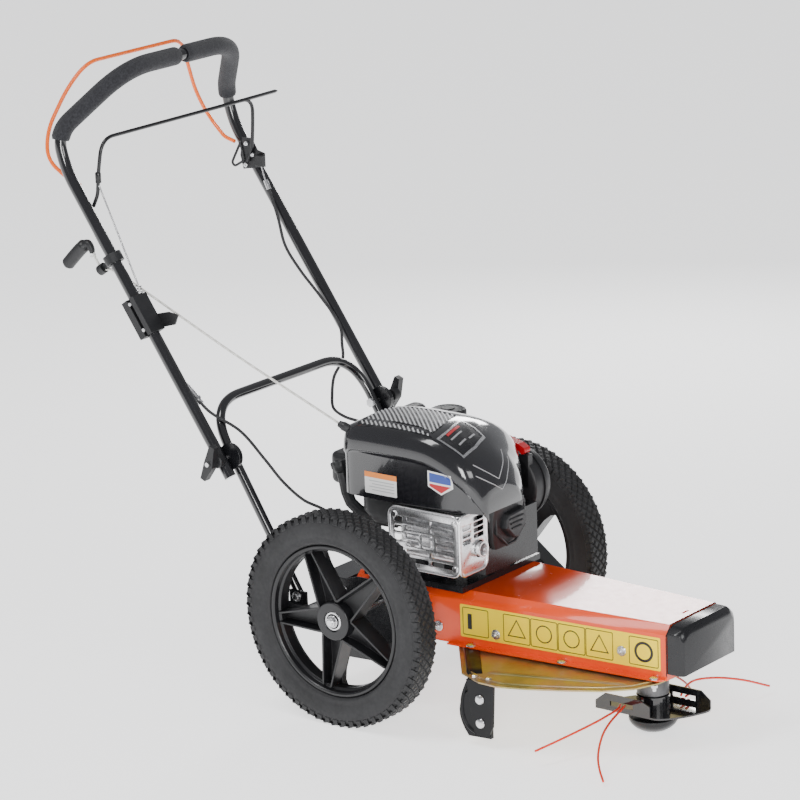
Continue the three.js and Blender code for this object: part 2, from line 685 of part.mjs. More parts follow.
const MUFFLER = { x0: -156, x1: -101, y0: -178, y1: -66, z0: 270, z1: 346 };
const OUTLET_AT = v3(-116, 0, 293);
const OUTLET_R = 11;
const SHIELD = { x0: -168, x1: -96, y0: -190, y1: -52, z0: 258, z1: 357 };

function muffler() {
  const m = MUFFLER;
  const can = box(m.x0, m.x1, m.y0, m.y1, m.z0, m.z1);
  const outlet = disc(OUTLET_R, m.y0 - 8, m.y0 + 2, 20, 'y', OUTLET_AT);
  return join([can, outlet]);
}

function mufflerGuard() {
  const s = SHIELD;
  const shell = box(s.x0, s.x1, s.y0, s.y1, s.z0, s.z1);
  const hollow = box(s.x0 + 3, s.x1 + 2, s.y0 + 3, s.y1 + 2, s.z0 + 3, s.z1 - 3);
  const sideSlots = Array.from({ length: 4 }, (_, i) => box(
    s.x0 - 2, s.x0 + 5, s.y0 + 24, s.y1 - 20, s.z0 + 18 + i * 18, s.z0 + 26 + i * 18,
  ));
  const frontSlots = Array.from({ length: 3 }, (_, i) => box(
    s.x0 + 16, s.x1 - 12, s.y0 - 2, s.y0 + 5, s.z0 + 52 + i * 14, s.z0 + 59 + i * 14,
  ));
  const outlet = disc(OUTLET_R + 3, s.y0 - 4, s.y0 + 6, 24, 'y', OUTLET_AT);
  return cut(shell, [hollow, outlet, ...sideSlots, ...frontSlots]);
}

const FILTER = { x0: 95, x1: 118, x2: 142, y: -94, z: 330, r: 62 };

const LATCH = { x: 100, y: -128, z: 393 };
const LATCH_R = 6;

function airFilterHousing() {
  const at = v3(0, FILTER.y, FILTER.z);
  const drum = turned([
    [0, FILTER.x0], [FILTER.r - 4, FILTER.x0], [FILTER.r - 2, FILTER.x1], [0, FILTER.x1],
  ], 28, 'x', at);
  const lug = box(
    FILTER.x0, LATCH.x + 8, LATCH.y - 10, LATCH.y + 10, FILTER.z, LATCH.z - LATCH_R - GAP,
  );
  return join([drum, lug]);
}

function airFilterCover() {
  const at = v3(0, FILTER.y, FILTER.z);
  return turned([
    [0, FILTER.x1 + GAP], [FILTER.r, FILTER.x1 + GAP], [FILTER.r, FILTER.x2 - 8],
    [FILTER.r - 6, FILTER.x2 - 2], [20, FILTER.x2], [0, FILTER.x2],
  ], 28, 'x', at);
}


function airFilterLatch() {
  const pivot = disc(LATCH_R, LATCH.x - 8, LATCH.x + 8, 16, 'x', v3(0, LATCH.y, LATCH.z));
  const blade = sidePlate([
    [LATCH.y - 2, LATCH.z], [LATCH.y + 5, LATCH.z - 2], [LATCH.y + 34, LATCH.z + 12],
    [LATCH.y + 38, LATCH.z + 19], [LATCH.y + 8, LATCH.z + 11], [LATCH.y - 4, LATCH.z + 5],
  ], LATCH.x - 8, LATCH.x + 8);
  return join([pivot, blade]);
}

const DIPSTICK_BEND = v3(-121, 62, 330);
const DIPSTICK_TOP = v3(-122, 78, 382);
const DIPSTICK_FOOT = v3(-78, 0, 296);

function fillerTube() {
  const path = smoothPath([
    DIPSTICK_FOOT, v3(-106, 28, 306), DIPSTICK_BEND, DIPSTICK_TOP,
  ]);
  const sump = disc(92 + GAP, 200, 332, 32, 'z', v3(0, CRANK_Y, 0));
  return cut(rod(path, 10, 8, 10), [sump]);
}

function dipstickCap() {
  const axisUp = DIPSTICK_TOP.clone().sub(DIPSTICK_BEND).normalize();
  const spin = new THREE.Quaternion().setFromUnitVectors(v3(0, 0, 1), axisUp);
  const cap = turned([[0, 0.6], [12, 0.6], [16, 9], [16, 17], [0, 19]], 20, 'z', v3(0, 0, 0));
  return cap.applyQuaternion(spin).translate(DIPSTICK_TOP.x, DIPSTICK_TOP.y, DIPSTICK_TOP.z);
}

add('engine_crankcase', crankcase(), BLACK_PLASTIC);
add('engine_shroud', engineShroud(), GLOSS_BLACK);
add('fuel_tank', fuelTank(), BLACK_PLASTIC);
add('fuel_cap', fuelCap(), BLACK_PLASTIC);
add('cylinder_cover', cylinderCover(), BLACK_PLASTIC);
add('muffler', muffler(), STEEL);
add('muffler_guard', mufflerGuard(), SILVER);
add('air_filter_housing', airFilterHousing(), BLACK_PLASTIC);
add('air_filter_cover', airFilterCover(), BLACK_PLASTIC);
add('air_filter_latch', airFilterLatch(), RED);
add('oil_filler_tube', fillerTube(), BLACK_PLASTIC);
add('dipstick_cap', dipstickCap(), BLACK_PLASTIC);

// ---------------------------------------------------------------- handle
const HANDLE_PATH = roundedPath(mirrored([
  v3(HANDLE_X, 236, 372), v3(HANDLE_X, 560, 852), v3(HANDLE_X, 575, 912), v3(138, 487, 1014),
]), [60, 40, 60, 60, 40, 60]);
const HANDLE_STEPS = 64;
const HANDLE_SIDES = 8;

const LOWER_PATH = roundedPath(mirrored([
  v3(LOWER_X, 118, 176), v3(LOWER_X, 300, 480),
]), [80, 80]);

function boltHole(y, z, r) {
  return disc(r, -260, 260, 16, 'x', v3(0, y, z));
}

const bailHoles = (pivot, radius) => [1, -1].map((s) => disc(
  radius + GAP, Math.min(s * BAIL_END_X, s * (BAIL_PIN_X + 1)),
  Math.max(s * BAIL_END_X, s * (BAIL_PIN_X + 1)), 8, 'x', v3(0, pivot.y, pivot.z),
));

function upperHandle() {
  return cut(rod(HANDLE_PATH, HANDLE_R, HANDLE_STEPS, HANDLE_SIDES), [
    boltHole(PIVOT_Y + 2, PIVOT_Z, 4 + GAP),
    ...bailHoles(ORANGE_PIVOT, BAIL_R), ...bailHoles(DRIVE_PIVOT, DRIVE_BAIL_R),
  ]);
}

function lowerHandle() {
  return cut(rod(LOWER_PATH, LOWER_R, 36, 8), [boltHole(PIVOT_Y + 2, PIVOT_Z, 4 + GAP)]);
}

function grip(side) {
  const sleeve = cut(
    rod(HANDLE_PATH, FOAM_R, HANDLE_STEPS, HANDLE_SIDES),
    [rod(HANDLE_PATH, HANDLE_R + GAP, HANDLE_STEPS, HANDLE_SIDES)],
  );
  const reach = box(Math.min(side * 7, side * 260), Math.max(side * 7, side * 260), 400, 700, 898, 1100);
  return common(sleeve, reach);
}


// The two outward-bent ends of a bail, which sit in blind holes in the handle tube.
function bailPins(pivot, radius) {
  return [1, -1].map((s) => disc(
    radius, Math.min(s * (BAIL_END_X - 3), s * BAIL_PIN_X), Math.max(s * (BAIL_END_X - 3), s * BAIL_PIN_X),
    8, 'x', v3(0, pivot.y, pivot.z),
  ));
}

function operatorBail() {
  const path = roundedPath(mirrored([
    v3(BAIL_END_X, ORANGE_PIVOT.y, ORANGE_PIVOT.z), v3(BAIL_END_X, 568, 830),
    v3(208, 610, 862), v3(190, 621, 908), v3(152, 606, 974), v3(120, 588, 1013),
  ]), [8, 30, 40, 40, 30, 30, 40, 40, 30, 8]);
  return join([rod(path, BAIL_R, 60, 6), ...bailPins(ORANGE_PIVOT, BAIL_R)]);
}

function driveBail() {
  const half = [
    v3(BAIL_END_X, DRIVE_PIVOT.y, DRIVE_PIVOT.z), v3(BAIL_END_X, 508, 812), v3(200, 504, 850),
    v3(195, 497, 906),
  ];
  const frame = rod(roundedPath(mirrored(half), [8, 20, 40, 40, 20, 8]), DRIVE_BAIL_R, 50, 6);
  const horn = rod(roundedPath([v3(150, 497, 906), v3(264, 499, 906)], []), 3.4, 2, 6);
  const anchor = box(-206, -194, 498, 514, 836, 852);
  return join([frame, horn, anchor, ...bailPins(DRIVE_PIVOT, DRIVE_BAIL_R)]);
}

function clamp(side) {
  const between = { a: LOWER_X + LOWER_R + GAP, b: HANDLE_X - HANDLE_R - GAP };
  const x0 = Math.min(side * between.a, side * between.b);
  const x1 = Math.max(side * between.a, side * between.b);
  const spacer = disc(22, x0, x1, 28, 'x', v3(0, PIVOT_Y - 4, PIVOT_Z + 2));
  return cut(spacer, [boltHole(PIVOT_Y + 2, PIVOT_Z, 4 + GAP)]);
}

function clampBolt(side) {
  const at = v3(0, PIVOT_Y + 2, PIVOT_Z);
  const inner = side * (LOWER_X - LOWER_R - GAP);
  const outer = side * 258;
  const shank = disc(4, Math.min(inner, outer), Math.max(inner, outer), 16, 'x', at);
  const head = disc(8, Math.min(inner, inner - side * 6), Math.max(inner, inner - side * 6), 6, 'x', at);
  return join([shank, head]);
}

function clampKnob(side) {
  const at = v3(0, PIVOT_Y + 2, PIVOT_Z);
  const x0 = side * (HANDLE_X + HANDLE_R + GAP);
  const boss = disc(10, Math.min(x0, x0 + side * 16), Math.max(x0, x0 + side * 16), 20, 'x', at);
  const wing = sidePlate([
    [at.y + 9, at.z - 30], [at.y + 18, at.z - 26], [at.y + 8, at.z + 4], [at.y - 4, at.z + 32],
    [at.y - 14, at.z + 28], [at.y - 8, at.z - 6],
  ], Math.min(x0 + side * 14, x0 + side * 27), Math.max(x0 + side * 14, x0 + side * 27));
  return cut(join([boss, wing]), [disc(4 + GAP, -260, 260, 16, 'x', at)]);
}

// Tilted frame whose local Z runs along the upper tube and whose origin is on its axis.
const TUBE_ANGLE = Math.atan2(852 - 372, 560 - 236);
function alongTube(geometry, side, z) {
  const y = 236 + (z - 372) / Math.tan(TUBE_ANGLE);
  return geometry.rotateX(TUBE_ANGLE - Math.PI / 2).translate(side * HANDLE_X, y, z);
}

function throttleBox() {
  const body = box(-17, 17, -13, 17, -35, 33);
  const bore = disc(HANDLE_R + GAP, -60, 60, 24, 'z', v3(0, 0, 0));
  const slit = box(-30, 0, -3, 3, -60, 60);
  return alongTube(cut(body, [bore, slit]), -1, 624);
}

function throttleLever() {
  const hub = disc(9, 17 + GAP, 21, 16, 'x', v3(0, 4, -10));
  const blade = sidePlate([
    [8, -18], [-4, -30], [-34, -40], [-50, -30], [-34, -16], [4, -2], [12, -6],
  ], 17 + GAP, 21);
  return alongTube(join([hub, blade]), -1, 624);
}

function ropeGuide() {
  const collar = cut(
    disc(16, -8, 8, 24, 'z', v3(0, 0, 0)), [disc(HANDLE_R + GAP, -20, 20, 24, 'z', v3(0, 0, 0))],
  );
  const arm = box(6, 13, 8, 42, -5, 5);
  const eye = cut(
    disc(9, 36, 48, 20, 'y', v3(9.5, 0, 0)), [disc(4, 0, 60, 16, 'y', v3(9.5, 0, 0))],
  );
  return alongTube(join([collar, arm, eye]), -1, 712);
}

function starterGrip() {
  const outline = new THREE.Shape();
  outline.moveTo(523, 735);
  outline.quadraticCurveTo(536, 740, 546, 728);
  outline.lineTo(586, 690);
  outline.lineTo(571, 670);
  outline.lineTo(552, 690);
  outline.quadraticCurveTo(544, 700, 528, 714);
  outline.closePath();
  return sidePlate(outline, -222 + 7, -222 + 29);
}

add('lower_handle', lowerHandle(), BLACK_PAINT);
add('upper_handle', upperHandle(), BLACK_PAINT);
for (const [label, side] of Object.entries(sideSigns)) {
  add(`grip_${label}`, grip(side), FOAM);
  add(`clamp_${label}`, clamp(side), BLACK_PLASTIC);
  add(`clamp_bolt_${label}`, clampBolt(side), STEEL);
  add(`clamp_knob_${label}`, clampKnob(side), BLACK_PLASTIC);
}
add('operator_bail', operatorBail(), ORANGE);
add('drive_bail', driveBail(), BLACK_PAINT);
add('throttle_box', throttleBox(), BLACK_PLASTIC);
add('throttle_lever', throttleLever(), BLACK_PLASTIC);
add('rope_guide', ropeGuide(), STEEL);
add('starter_grip', starterGrip(), BLACK_PLASTIC);

// ---------------------------------------------------------------- rope and cables
const STARTER_ROPE = [
  [-207, 482, 690], [-197, 462, 677], [-188, 430, 657], [-172, 250, 566], [-152, 58, 474],
];
const THROTTLE_CABLE = [
  [-200, 398, 574], [-202, 366, 533], [-203, 323, 503], [-202, 290, 474], [-168, 252, 436],
  [-160, 209, 392], [-155, 176, 357], [-148, 140, 330], [-138, 112, 318], [-124, 84, 300],
];
const DRIVE_CABLE = [
  [196, 470, 748], [197, 454, 700], [198, 441, 651], [198, 409, 610], [198, 369, 571],
  [196, 326, 524], [190, 318, 494], [184, 313, 469], [170, 322, 440], [150, 312, 414],
  [132, 296, 397], [118, 262, 390], [106, 222, 390], [98, 170, 384], [94, 130, 378],
];
const cable = (points, radius, steps) =>
  rod(smoothPath(points.map(([x, y, z]) => v3(x, y, z))), radius, steps, 6);

add('starter_rope', cable(STARTER_ROPE, 2, 20), ROPE);
add('throttle_cable', cable(THROTTLE_CABLE, 2.6, 36), BLACK_PLASTIC);
add('drive_cable', cable(DRIVE_CABLE, 2.6, 44), BLACK_PLASTIC);

export default part;
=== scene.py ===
# The looks of a walk-behind wheeled string trimmer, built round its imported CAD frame.
# Every layout length below is in millimetres, measured from the wheel axle (y = 0) and the ground
# (z = 0); at() turns it into the frame's metres. The head faces -Y; the operator's right side is -X.
import math

import bmesh
import bpy
from mathutils import Matrix, Vector
from mathutils.bvhtree import BVHTree


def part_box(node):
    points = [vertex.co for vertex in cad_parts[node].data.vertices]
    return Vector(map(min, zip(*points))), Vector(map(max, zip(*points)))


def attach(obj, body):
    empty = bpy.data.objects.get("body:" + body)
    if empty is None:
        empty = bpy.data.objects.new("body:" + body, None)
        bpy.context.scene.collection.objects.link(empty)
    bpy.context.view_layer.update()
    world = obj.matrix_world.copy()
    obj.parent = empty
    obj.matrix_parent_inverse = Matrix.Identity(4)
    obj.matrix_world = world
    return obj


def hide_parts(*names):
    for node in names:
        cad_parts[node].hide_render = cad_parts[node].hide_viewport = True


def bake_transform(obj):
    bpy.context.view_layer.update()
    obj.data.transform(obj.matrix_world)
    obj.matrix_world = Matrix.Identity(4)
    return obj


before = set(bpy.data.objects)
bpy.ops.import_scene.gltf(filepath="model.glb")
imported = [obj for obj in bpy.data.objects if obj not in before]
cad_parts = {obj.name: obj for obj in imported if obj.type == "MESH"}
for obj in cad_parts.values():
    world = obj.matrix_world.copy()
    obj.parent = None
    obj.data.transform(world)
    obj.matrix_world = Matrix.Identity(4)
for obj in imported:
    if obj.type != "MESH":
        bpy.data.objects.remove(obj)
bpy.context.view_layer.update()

MM = 0.001
AXLE_LOW, AXLE_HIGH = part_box("axle")
AXLE_Y = (AXLE_LOW.y + AXLE_HIGH.y) / 2
GAP = 0.3


def at(x, y, z):
    """A layout point in millimetres as a frame point in metres."""
    return Vector((x * MM, y * MM + AXLE_Y, z * MM))


# ------------------------------------------------------------------ camera
LENS = 174.6
SENSOR = 36.0
CAMERA_AT = (-4842.0, -3711.0, 2169.0)
AZIMUTH = math.radians(-52.17)
ELEVATION = math.radians(15.43)
ROLL = math.radians(-2.05)


def make_camera():
    forward = Vector((-math.sin(AZIMUTH) * math.cos(ELEVATION),
                      math.cos(AZIMUTH) * math.cos(ELEVATION), -math.sin(ELEVATION)))
    right = Vector((math.cos(AZIMUTH), math.sin(AZIMUTH), 0))
    up = right.cross(forward)
    cam_x = math.cos(ROLL) * right + math.sin(ROLL) * up
    cam_y = -math.sin(ROLL) * right + math.cos(ROLL) * up
    data = bpy.data.cameras.new("camera")
    data.lens = LENS
    data.sensor_width = SENSOR
    data.clip_end = 100
    camera = bpy.data.objects.new("camera", data)
    bpy.context.scene.collection.objects.link(camera)
    turn = Matrix((cam_x, cam_y, -forward)).transposed().to_4x4()
    camera.matrix_world = Matrix.Translation(at(*CAMERA_AT)) @ turn
    bpy.context.scene.camera = camera


make_camera()


# ------------------------------------------------------------------ materials
def new_material(name):
    material = bpy.data.materials.new(name)
    material.use_nodes = True
    tree = material.node_tree
    shader = tree.nodes["Principled BSDF"]
    place = tree.nodes.new("ShaderNodeTexCoord").outputs["Object"]
    return material, tree, shader, place


def noise(tree, place, scale, detail=3.0):
    node = tree.nodes.new("ShaderNodeTexNoise")
    node.inputs["Scale"].default_value = scale
    node.inputs["Detail"].default_value = detail
    node.inputs["Roughness"].default_value = 0.55
    tree.links.new(place, node.inputs["Vector"])
    return node.outputs["Fac"]


def spread(tree, value, low, high, to_low, to_high):
    node = tree.nodes.new("ShaderNodeMapRange")
    for socket, number in zip(("From Min", "From Max", "To Min", "To Max"),
                              (low, high, to_low, to_high)):
        node.inputs[socket].default_value = number
    tree.links.new(value, node.inputs["Value"])
    return node.outputs["Result"]


def two_tone(tree, value, first, second, low=0.35, high=0.65):
    ramp = tree.nodes.new("ShaderNodeValToRGB")
    ramp.color_ramp.elements[0].position = low
    ramp.color_ramp.elements[1].position = high
    ramp.color_ramp.elements[0].color = (*first, 1)
    ramp.color_ramp.elements[1].color = (*second, 1)
    tree.links.new(value, ramp.inputs["Fac"])
    return ramp.outputs["Color"]


def bump(tree, height, depth, strength, below=None):
    node = tree.nodes.new("ShaderNodeBump")
    node.inputs["Distance"].default_value = depth
    node.inputs["Strength"].default_value = strength
    tree.links.new(height, node.inputs["Height"])
    if below is not None:
        tree.links.new(below, node.inputs["Normal"])
    return node.outputs["Normal"]


def surface(name, first, second, rough, patch=9.0, metallic=0.0, coat=0.0, coat_rough=0.08,
            grain=900.0, depth=0.0002, strength=0.3, specular=0.5):
    """A procedural surface: two close colours in patches, uneven roughness and a fine grain."""
    material, tree, shader, place = new_material(name)
    patches = noise(tree, place, patch)
    tree.links.new(two_tone(tree, patches, first, second), shader.inputs["Base Color"])
    fine = noise(tree, place, patch * 7)
    tree.links.new(spread(tree, fine, 0.3, 0.7, rough * 0.85, rough * 1.15),
                   shader.inputs["Roughness"])
    shader.inputs["Metallic"].default_value = metallic
    shader.inputs["Coat Weight"].default_value = coat
    shader.inputs["Coat Roughness"].default_value = coat_rough
    shader.inputs["Specular IOR Level"].default_value = specular
    tree.links.new(bump(tree, noise(tree, place, grain), depth, strength), shader.inputs["Normal"])
    return material


def moulded_plastic(name, first, second, rough):
    """Spark-eroded plastic: a close grain of rounded cells over a soft unevenness."""
    material, tree, shader, place = new_material(name)
    cells = tree.nodes.new("ShaderNodeTexVoronoi")
    cells.inputs["Scale"].default_value = 1300
    tree.links.new(place, cells.inputs["Vector"])
    soft = bump(tree, noise(tree, place, 60), 0.0004, 0.12)
    tree.links.new(bump(tree, cells.outputs["Distance"], 0.00012, 0.35, soft),
                   shader.inputs["Normal"])
    tree.links.new(two_tone(tree, noise(tree, place, 14), first, second),
                   shader.inputs["Base Color"])
    tree.links.new(spread(tree, noise(tree, place, 45), 0.3, 0.7, rough * 0.85, rough * 1.15),
                   shader.inputs["Roughness"])
    return material


def foam(name):
    """Closed-cell foam: pin-sized pits and a faint bloom."""
    material, tree, shader, place = new_material(name)
    cells = tree.nodes.new("ShaderNodeTexVoronoi")
    cells.inputs["Scale"].default_value = 900
    tree.links.new(place, cells.inputs["Vector"])
    broad = bump(tree, noise(tree, place, 55), 0.0015, 0.35)
    tree.links.new(bump(tree, cells.outputs["Distance"], 0.0006, 0.8, broad),
                   shader.inputs["Normal"])
    tone = two_tone(tree, noise(tree, place, 260), (0.012, 0.0122, 0.015), (0.024, 0.0245, 0.029))
    tree.links.new(tone, shader.inputs["Base Color"])
    shader.inputs["Roughness"].default_value = 0.92
    shader.inputs["Specular IOR Level"].default_value = 0.3
    shader.inputs["Sheen Weight"].default_value = 0.12
    shader.inputs["Sheen Roughness"].default_value = 0.6
    return material


def zinc_plate(name):
    """Yellow passivated zinc: a drifting olive, straw and rose bloom on bright sheet."""
    material, tree, shader, place = new_material(name)
    drift = noise(tree, place, 11, 4)
    ramp = tree.nodes.new("ShaderNodeValToRGB")
    stops = ((0.28, (0.27, 0.24, 0.09)), (0.45, (0.44, 0.37, 0.15)),
             (0.58, (0.47, 0.33, 0.2)), (0.72, (0.32, 0.31, 0.13)))
    elements = ramp.color_ramp.elements
    while len(elements) < len(stops):
        elements.new(0.5)
    for element, (position, colour) in zip(elements, stops):
        element.position = position
        element.color = (*colour, 1)
    tree.links.new(drift, ramp.inputs["Fac"])
    tree.links.new(ramp.outputs["Color"], shader.inputs["Base Color"])
    shader.inputs["Metallic"].default_value = 0.85
    tree.links.new(spread(tree, noise(tree, place, 40), 0.3, 0.7, 0.3, 0.46),
                   shader.inputs["Roughness"])
    tree.links.new(bump(tree, noise(tree, place, 25), 0.002, 0.15), shader.inputs["Normal"])
    return material


def brushed(name, colour, darker, rough, stretch=(1, 1, 14)):
    """Drawn or turned bright metal, with fine lines along one direction."""
    material, tree, shader, place = new_material(name)
    mapping = tree.nodes.new("ShaderNodeMapping")
    mapping.inputs["Scale"].default_value = stretch
    tree.links.new(place, mapping.inputs["Vector"])
    lines = noise(tree, mapping.outputs["Vector"], 220, 2)
    tree.links.new(two_tone(tree, noise(tree, place, 30), darker, colour),
                   shader.inputs["Base Color"])
    shader.inputs["Metallic"].default_value = 1.0
    tree.links.new(spread(tree, lines, 0.3, 0.7, rough * 0.8, rough * 1.25),
                   shader.inputs["Roughness"])
    tree.links.new(bump(tree, lines, 0.0001, 0.3), shader.inputs["Normal"])
    return material


def braid(name):
    """Braided cord: two sets of crossing diagonal strands."""
    material, tree, shader, place = new_material(name)
    heights = []
    for turn in (0.7, -0.7):
        mapping = tree.nodes.new("ShaderNodeMapping")
        mapping.inputs["Rotation"].default_value = (turn, turn, 0)
        tree.links.new(place, mapping.inputs["Vector"])
        wave = tree.nodes.new("ShaderNodeTexWave")
        wave.inputs["Scale"].default_value = 190
        tree.links.new(mapping.outputs["Vector"], wave.inputs["Vector"])
        heights.append(wave.outputs["Fac"])
    crossing = tree.nodes.new("ShaderNodeMath")
    crossing.operation = "MAXIMUM"
    tree.links.new(heights[0], crossing.inputs[0])
    tree.links.new(heights[1], crossing.inputs[1])
    tone = two_tone(tree, crossing.outputs["Value"], (0.45, 0.44, 0.41), (0.8, 0.79, 0.75), 0.2, 0.8)
    tree.links.new(tone, shader.inputs["Base Color"])
    tree.links.new(bump(tree, crossing.outputs["Value"], 0.0005, 0.6), shader.inputs["Normal"])
    shader.inputs["Roughness"].default_value = 0.85
    return material


ORANGE = surface("orange_powder_coat", (0.86, 0.070, 0.005), (0.79, 0.056, 0.004), 0.24,
                 coat=0.4, coat_rough=0.05, grain=260, depth=0.0006, strength=0.035, specular=0.3)
BAIL_ORANGE = surface("orange_wire_coating", (0.93, 0.15, 0.008), (0.88, 0.13, 0.006), 0.34, coat=0.2,
                      grain=420)
BLACK_PAINT = surface("black_powder_coat", (0.006, 0.0062, 0.0075), (0.009, 0.0093, 0.011), 0.26,
                      coat=0.2, coat_rough=0.15, grain=420, depth=0.0004, strength=0.07, specular=0.35)
SATIN_BLACK = surface("satin_black_coat", (0.006, 0.0062, 0.0072), (0.010, 0.0103, 0.0115), 0.36,
                      grain=420, depth=0.0004, strength=0.1, specular=0.22)
GLOSS_BLACK = surface("polished_black_plastic", (0.006, 0.006, 0.0075), (0.009, 0.009, 0.011), 0.14,
                      coat=0.8, coat_rough=0.04, grain=180, depth=0.0005, strength=0.02)
PLASTIC = moulded_plastic("grained_black_plastic", (0.008, 0.0083, 0.0095), (0.013, 0.0133, 0.015),
                          0.48)
RIM_PLASTIC = moulded_plastic("wheel_plastic", (0.006, 0.006, 0.007), (0.010, 0.010, 0.0115), 0.34)
GREY_PLASTIC = moulded_plastic("grille_plastic", (0.52, 0.525, 0.54), (0.60, 0.605, 0.62), 0.4)
TYRE = surface("tyre_rubber", (0.016, 0.016, 0.017), (0.023, 0.023, 0.0245), 0.6, patch=24,
               grain=1500, depth=0.0003, strength=0.4, specular=0.35)
BELT = surface("belt_rubber", (0.018, 0.018, 0.02), (0.028, 0.028, 0.03), 0.75, patch=40,
               grain=1200, depth=0.0002, strength=0.5)
FOAM = foam("grip_foam")
ZINC = zinc_plate("yellow_zinc")
STEEL = brushed("bright_steel", (0.72, 0.72, 0.73), (0.6, 0.6, 0.61), 0.26)
DARK_STEEL = brushed("dull_steel", (0.2, 0.2, 0.21), (0.12, 0.12, 0.125), 0.4)
SILVER = brushed("stamped_sheet", (0.86, 0.86, 0.87), (0.78, 0.78, 0.79), 0.3, (1, 9, 1))
CAST = surface("cast_metal", (0.12, 0.12, 0.125), (0.19, 0.19, 0.195), 0.42, patch=30,
               metallic=0.75, grain=700, depth=0.0004, strength=0.45)
RED = surface("red_plastic", (0.46, 0.004, 0.010), (0.40, 0.003, 0.008), 0.3, grain=500)
NYLON = surface("line_nylon", (0.80, 0.035, 0.008), (0.72, 0.025, 0.006), 0.32, patch=60,
                coat=0.4, grain=700)
ROPE = braid("braided_rope")
YELLOW = surface("yellow_sticker", (1.0, 0.74, 0.012), (0.97, 0.69, 0.010), 0.5,
                 grain=600, strength=0.1, specular=0.2)
INK = surface("black_ink", (0.012, 0.012, 0.013), (0.018, 0.018, 0.019), 0.42, grain=600)
WHITE = surface("white_sticker", (0.78, 0.78, 0.77), (0.72, 0.72, 0.71), 0.4, coat=0.2, grain=600)
LABEL_ORANGE = surface("orange_ink", (0.85, 0.26, 0.03), (0.8, 0.23, 0.03), 0.42, grain=600)
LABEL_BLUE = surface("blue_ink", (0.03, 0.06, 0.28), (0.035, 0.07, 0.31), 0.42, grain=600)
LABEL_GREY = surface("grey_ink", (0.30, 0.30, 0.31), (0.36, 0.36, 0.37), 0.45, grain=600)


# ------------------------------------------------------------------ mesh helpers
def lathe(bm, profile, origin, axis, segments=64, closed=False):
    """A surface of revolution. profile is (radius, height) pairs in millimetres, heights along
    axis from origin. A radius of 0 closes it on the axis; closed joins the profile's two ends."""
    axis = Vector(axis).normalized()
    side = axis.orthogonal().normalized()
    across = axis.cross(side)
    rings = []
    for radius, height in profile:
        centre = origin + axis * height * MM
        if radius < 1e-6:
            rings.append([bm.verts.new(centre)])
            continue
        rings.append([bm.verts.new(centre + radius * MM * (math.cos(a) * side + math.sin(a) * across))
                      for a in (2 * math.pi * i / segments for i in range(segments))])
    if closed:
        rings.append(rings[0])
    for low, high in zip(rings, rings[1:]):
        for i in range(segments):
            k = (i + 1) % segments
            if len(low) == 1 and len(high) > 1:
                bm.faces.new((low[0], high[k], high[i]))
            elif len(high) == 1 and len(low) > 1:
                bm.faces.new((low[i], low[k], high[0]))
            elif len(low) > 1:
                bm.faces.new((low[i], low[k], high[k], high[i]))


def loft(bm, rings):
    """Skins rings of equal count into a closed body."""
    made = [[bm.verts.new(p) for p in ring] for ring in rings]
    count = len(made[0])
    for low, high in zip(made, made[1:]):
        for i in range(count):
            k = (i + 1) % count
            bm.faces.new((low[i], low[k], high[k], high[i]))
    bm.faces.new(made[0][::-1])
    bm.faces.new(made[-1])


def brick(bm, x0, x1, y0, y1, z0, z1):
    ring = [(x0, y0), (x1, y0), (x1, y1), (x0, y1)]
    loft(bm, [[at(x, y, z) for x, y in ring] for z in (z0, z1)])


def side_prism(bm, outline, x0, x1):
    """An outline of (y, z) pairs raised along X."""
    loft(bm, [[at(x, y, z) for y, z in outline] for x in (x0, x1)])


def flat_prism(bm, outline, z0, z1):
    """An outline of (x, y) pairs raised along Z."""
    loft(bm, [[at(x, y, z) for x, y in outline] for z in (z0, z1)])


def sweep(bm, path, radius, sides=16):
    """A tube along points in metres. radius is in millimetres: a number or one per point."""
    path = [Vector(p) for p in path]
    radii = radius if hasattr(radius, "__len__") else [radius] * len(path)
    tangents = []
    for i, p in enumerate(path):
        before = path[max(i - 1, 0)]
        after = path[min(i + 1, len(path) - 1)]
        tangents.append((after - before).normalized())
    normal = tangents[0].orthogonal().normalized()
    rings = []
    for p, t, r in zip(path, tangents, radii):
        normal = (normal - t * normal.dot(t)).normalized()
        other = t.cross(normal)
        rings.append([p + r * MM * (math.cos(a) * normal + math.sin(a) * other)
                      for a in (2 * math.pi * i / sides for i in range(sides))])
    loft(bm, rings)


def rounded_path(points, radii, samples=7):
    """A polyline in millimetres whose corners are rounded; returned in metres."""
    points = [Vector(p) for p in points]
    made = [points[0]]
    for i in range(1, len(points) - 1):
        back = points[i - 1] - points[i]
        ahead = points[i + 1] - points[i]
        reach = min(radii[i - 1], back.length / 2, ahead.length / 2)
        start = points[i] + back.normalized() * reach
        stop = points[i] + ahead.normalized() * reach
        for n in range(samples + 1):
            t = n / samples
            made.append((1 - t) ** 2 * start + 2 * t * (1 - t) * points[i] + t * t * stop)
    made.append(points[-1])
    kept = [made[0]]
    for p in made[1:]:
        if (p - kept[-1]).length > 0.05:
            kept.append(p)
    return [at(*p) for p in kept]


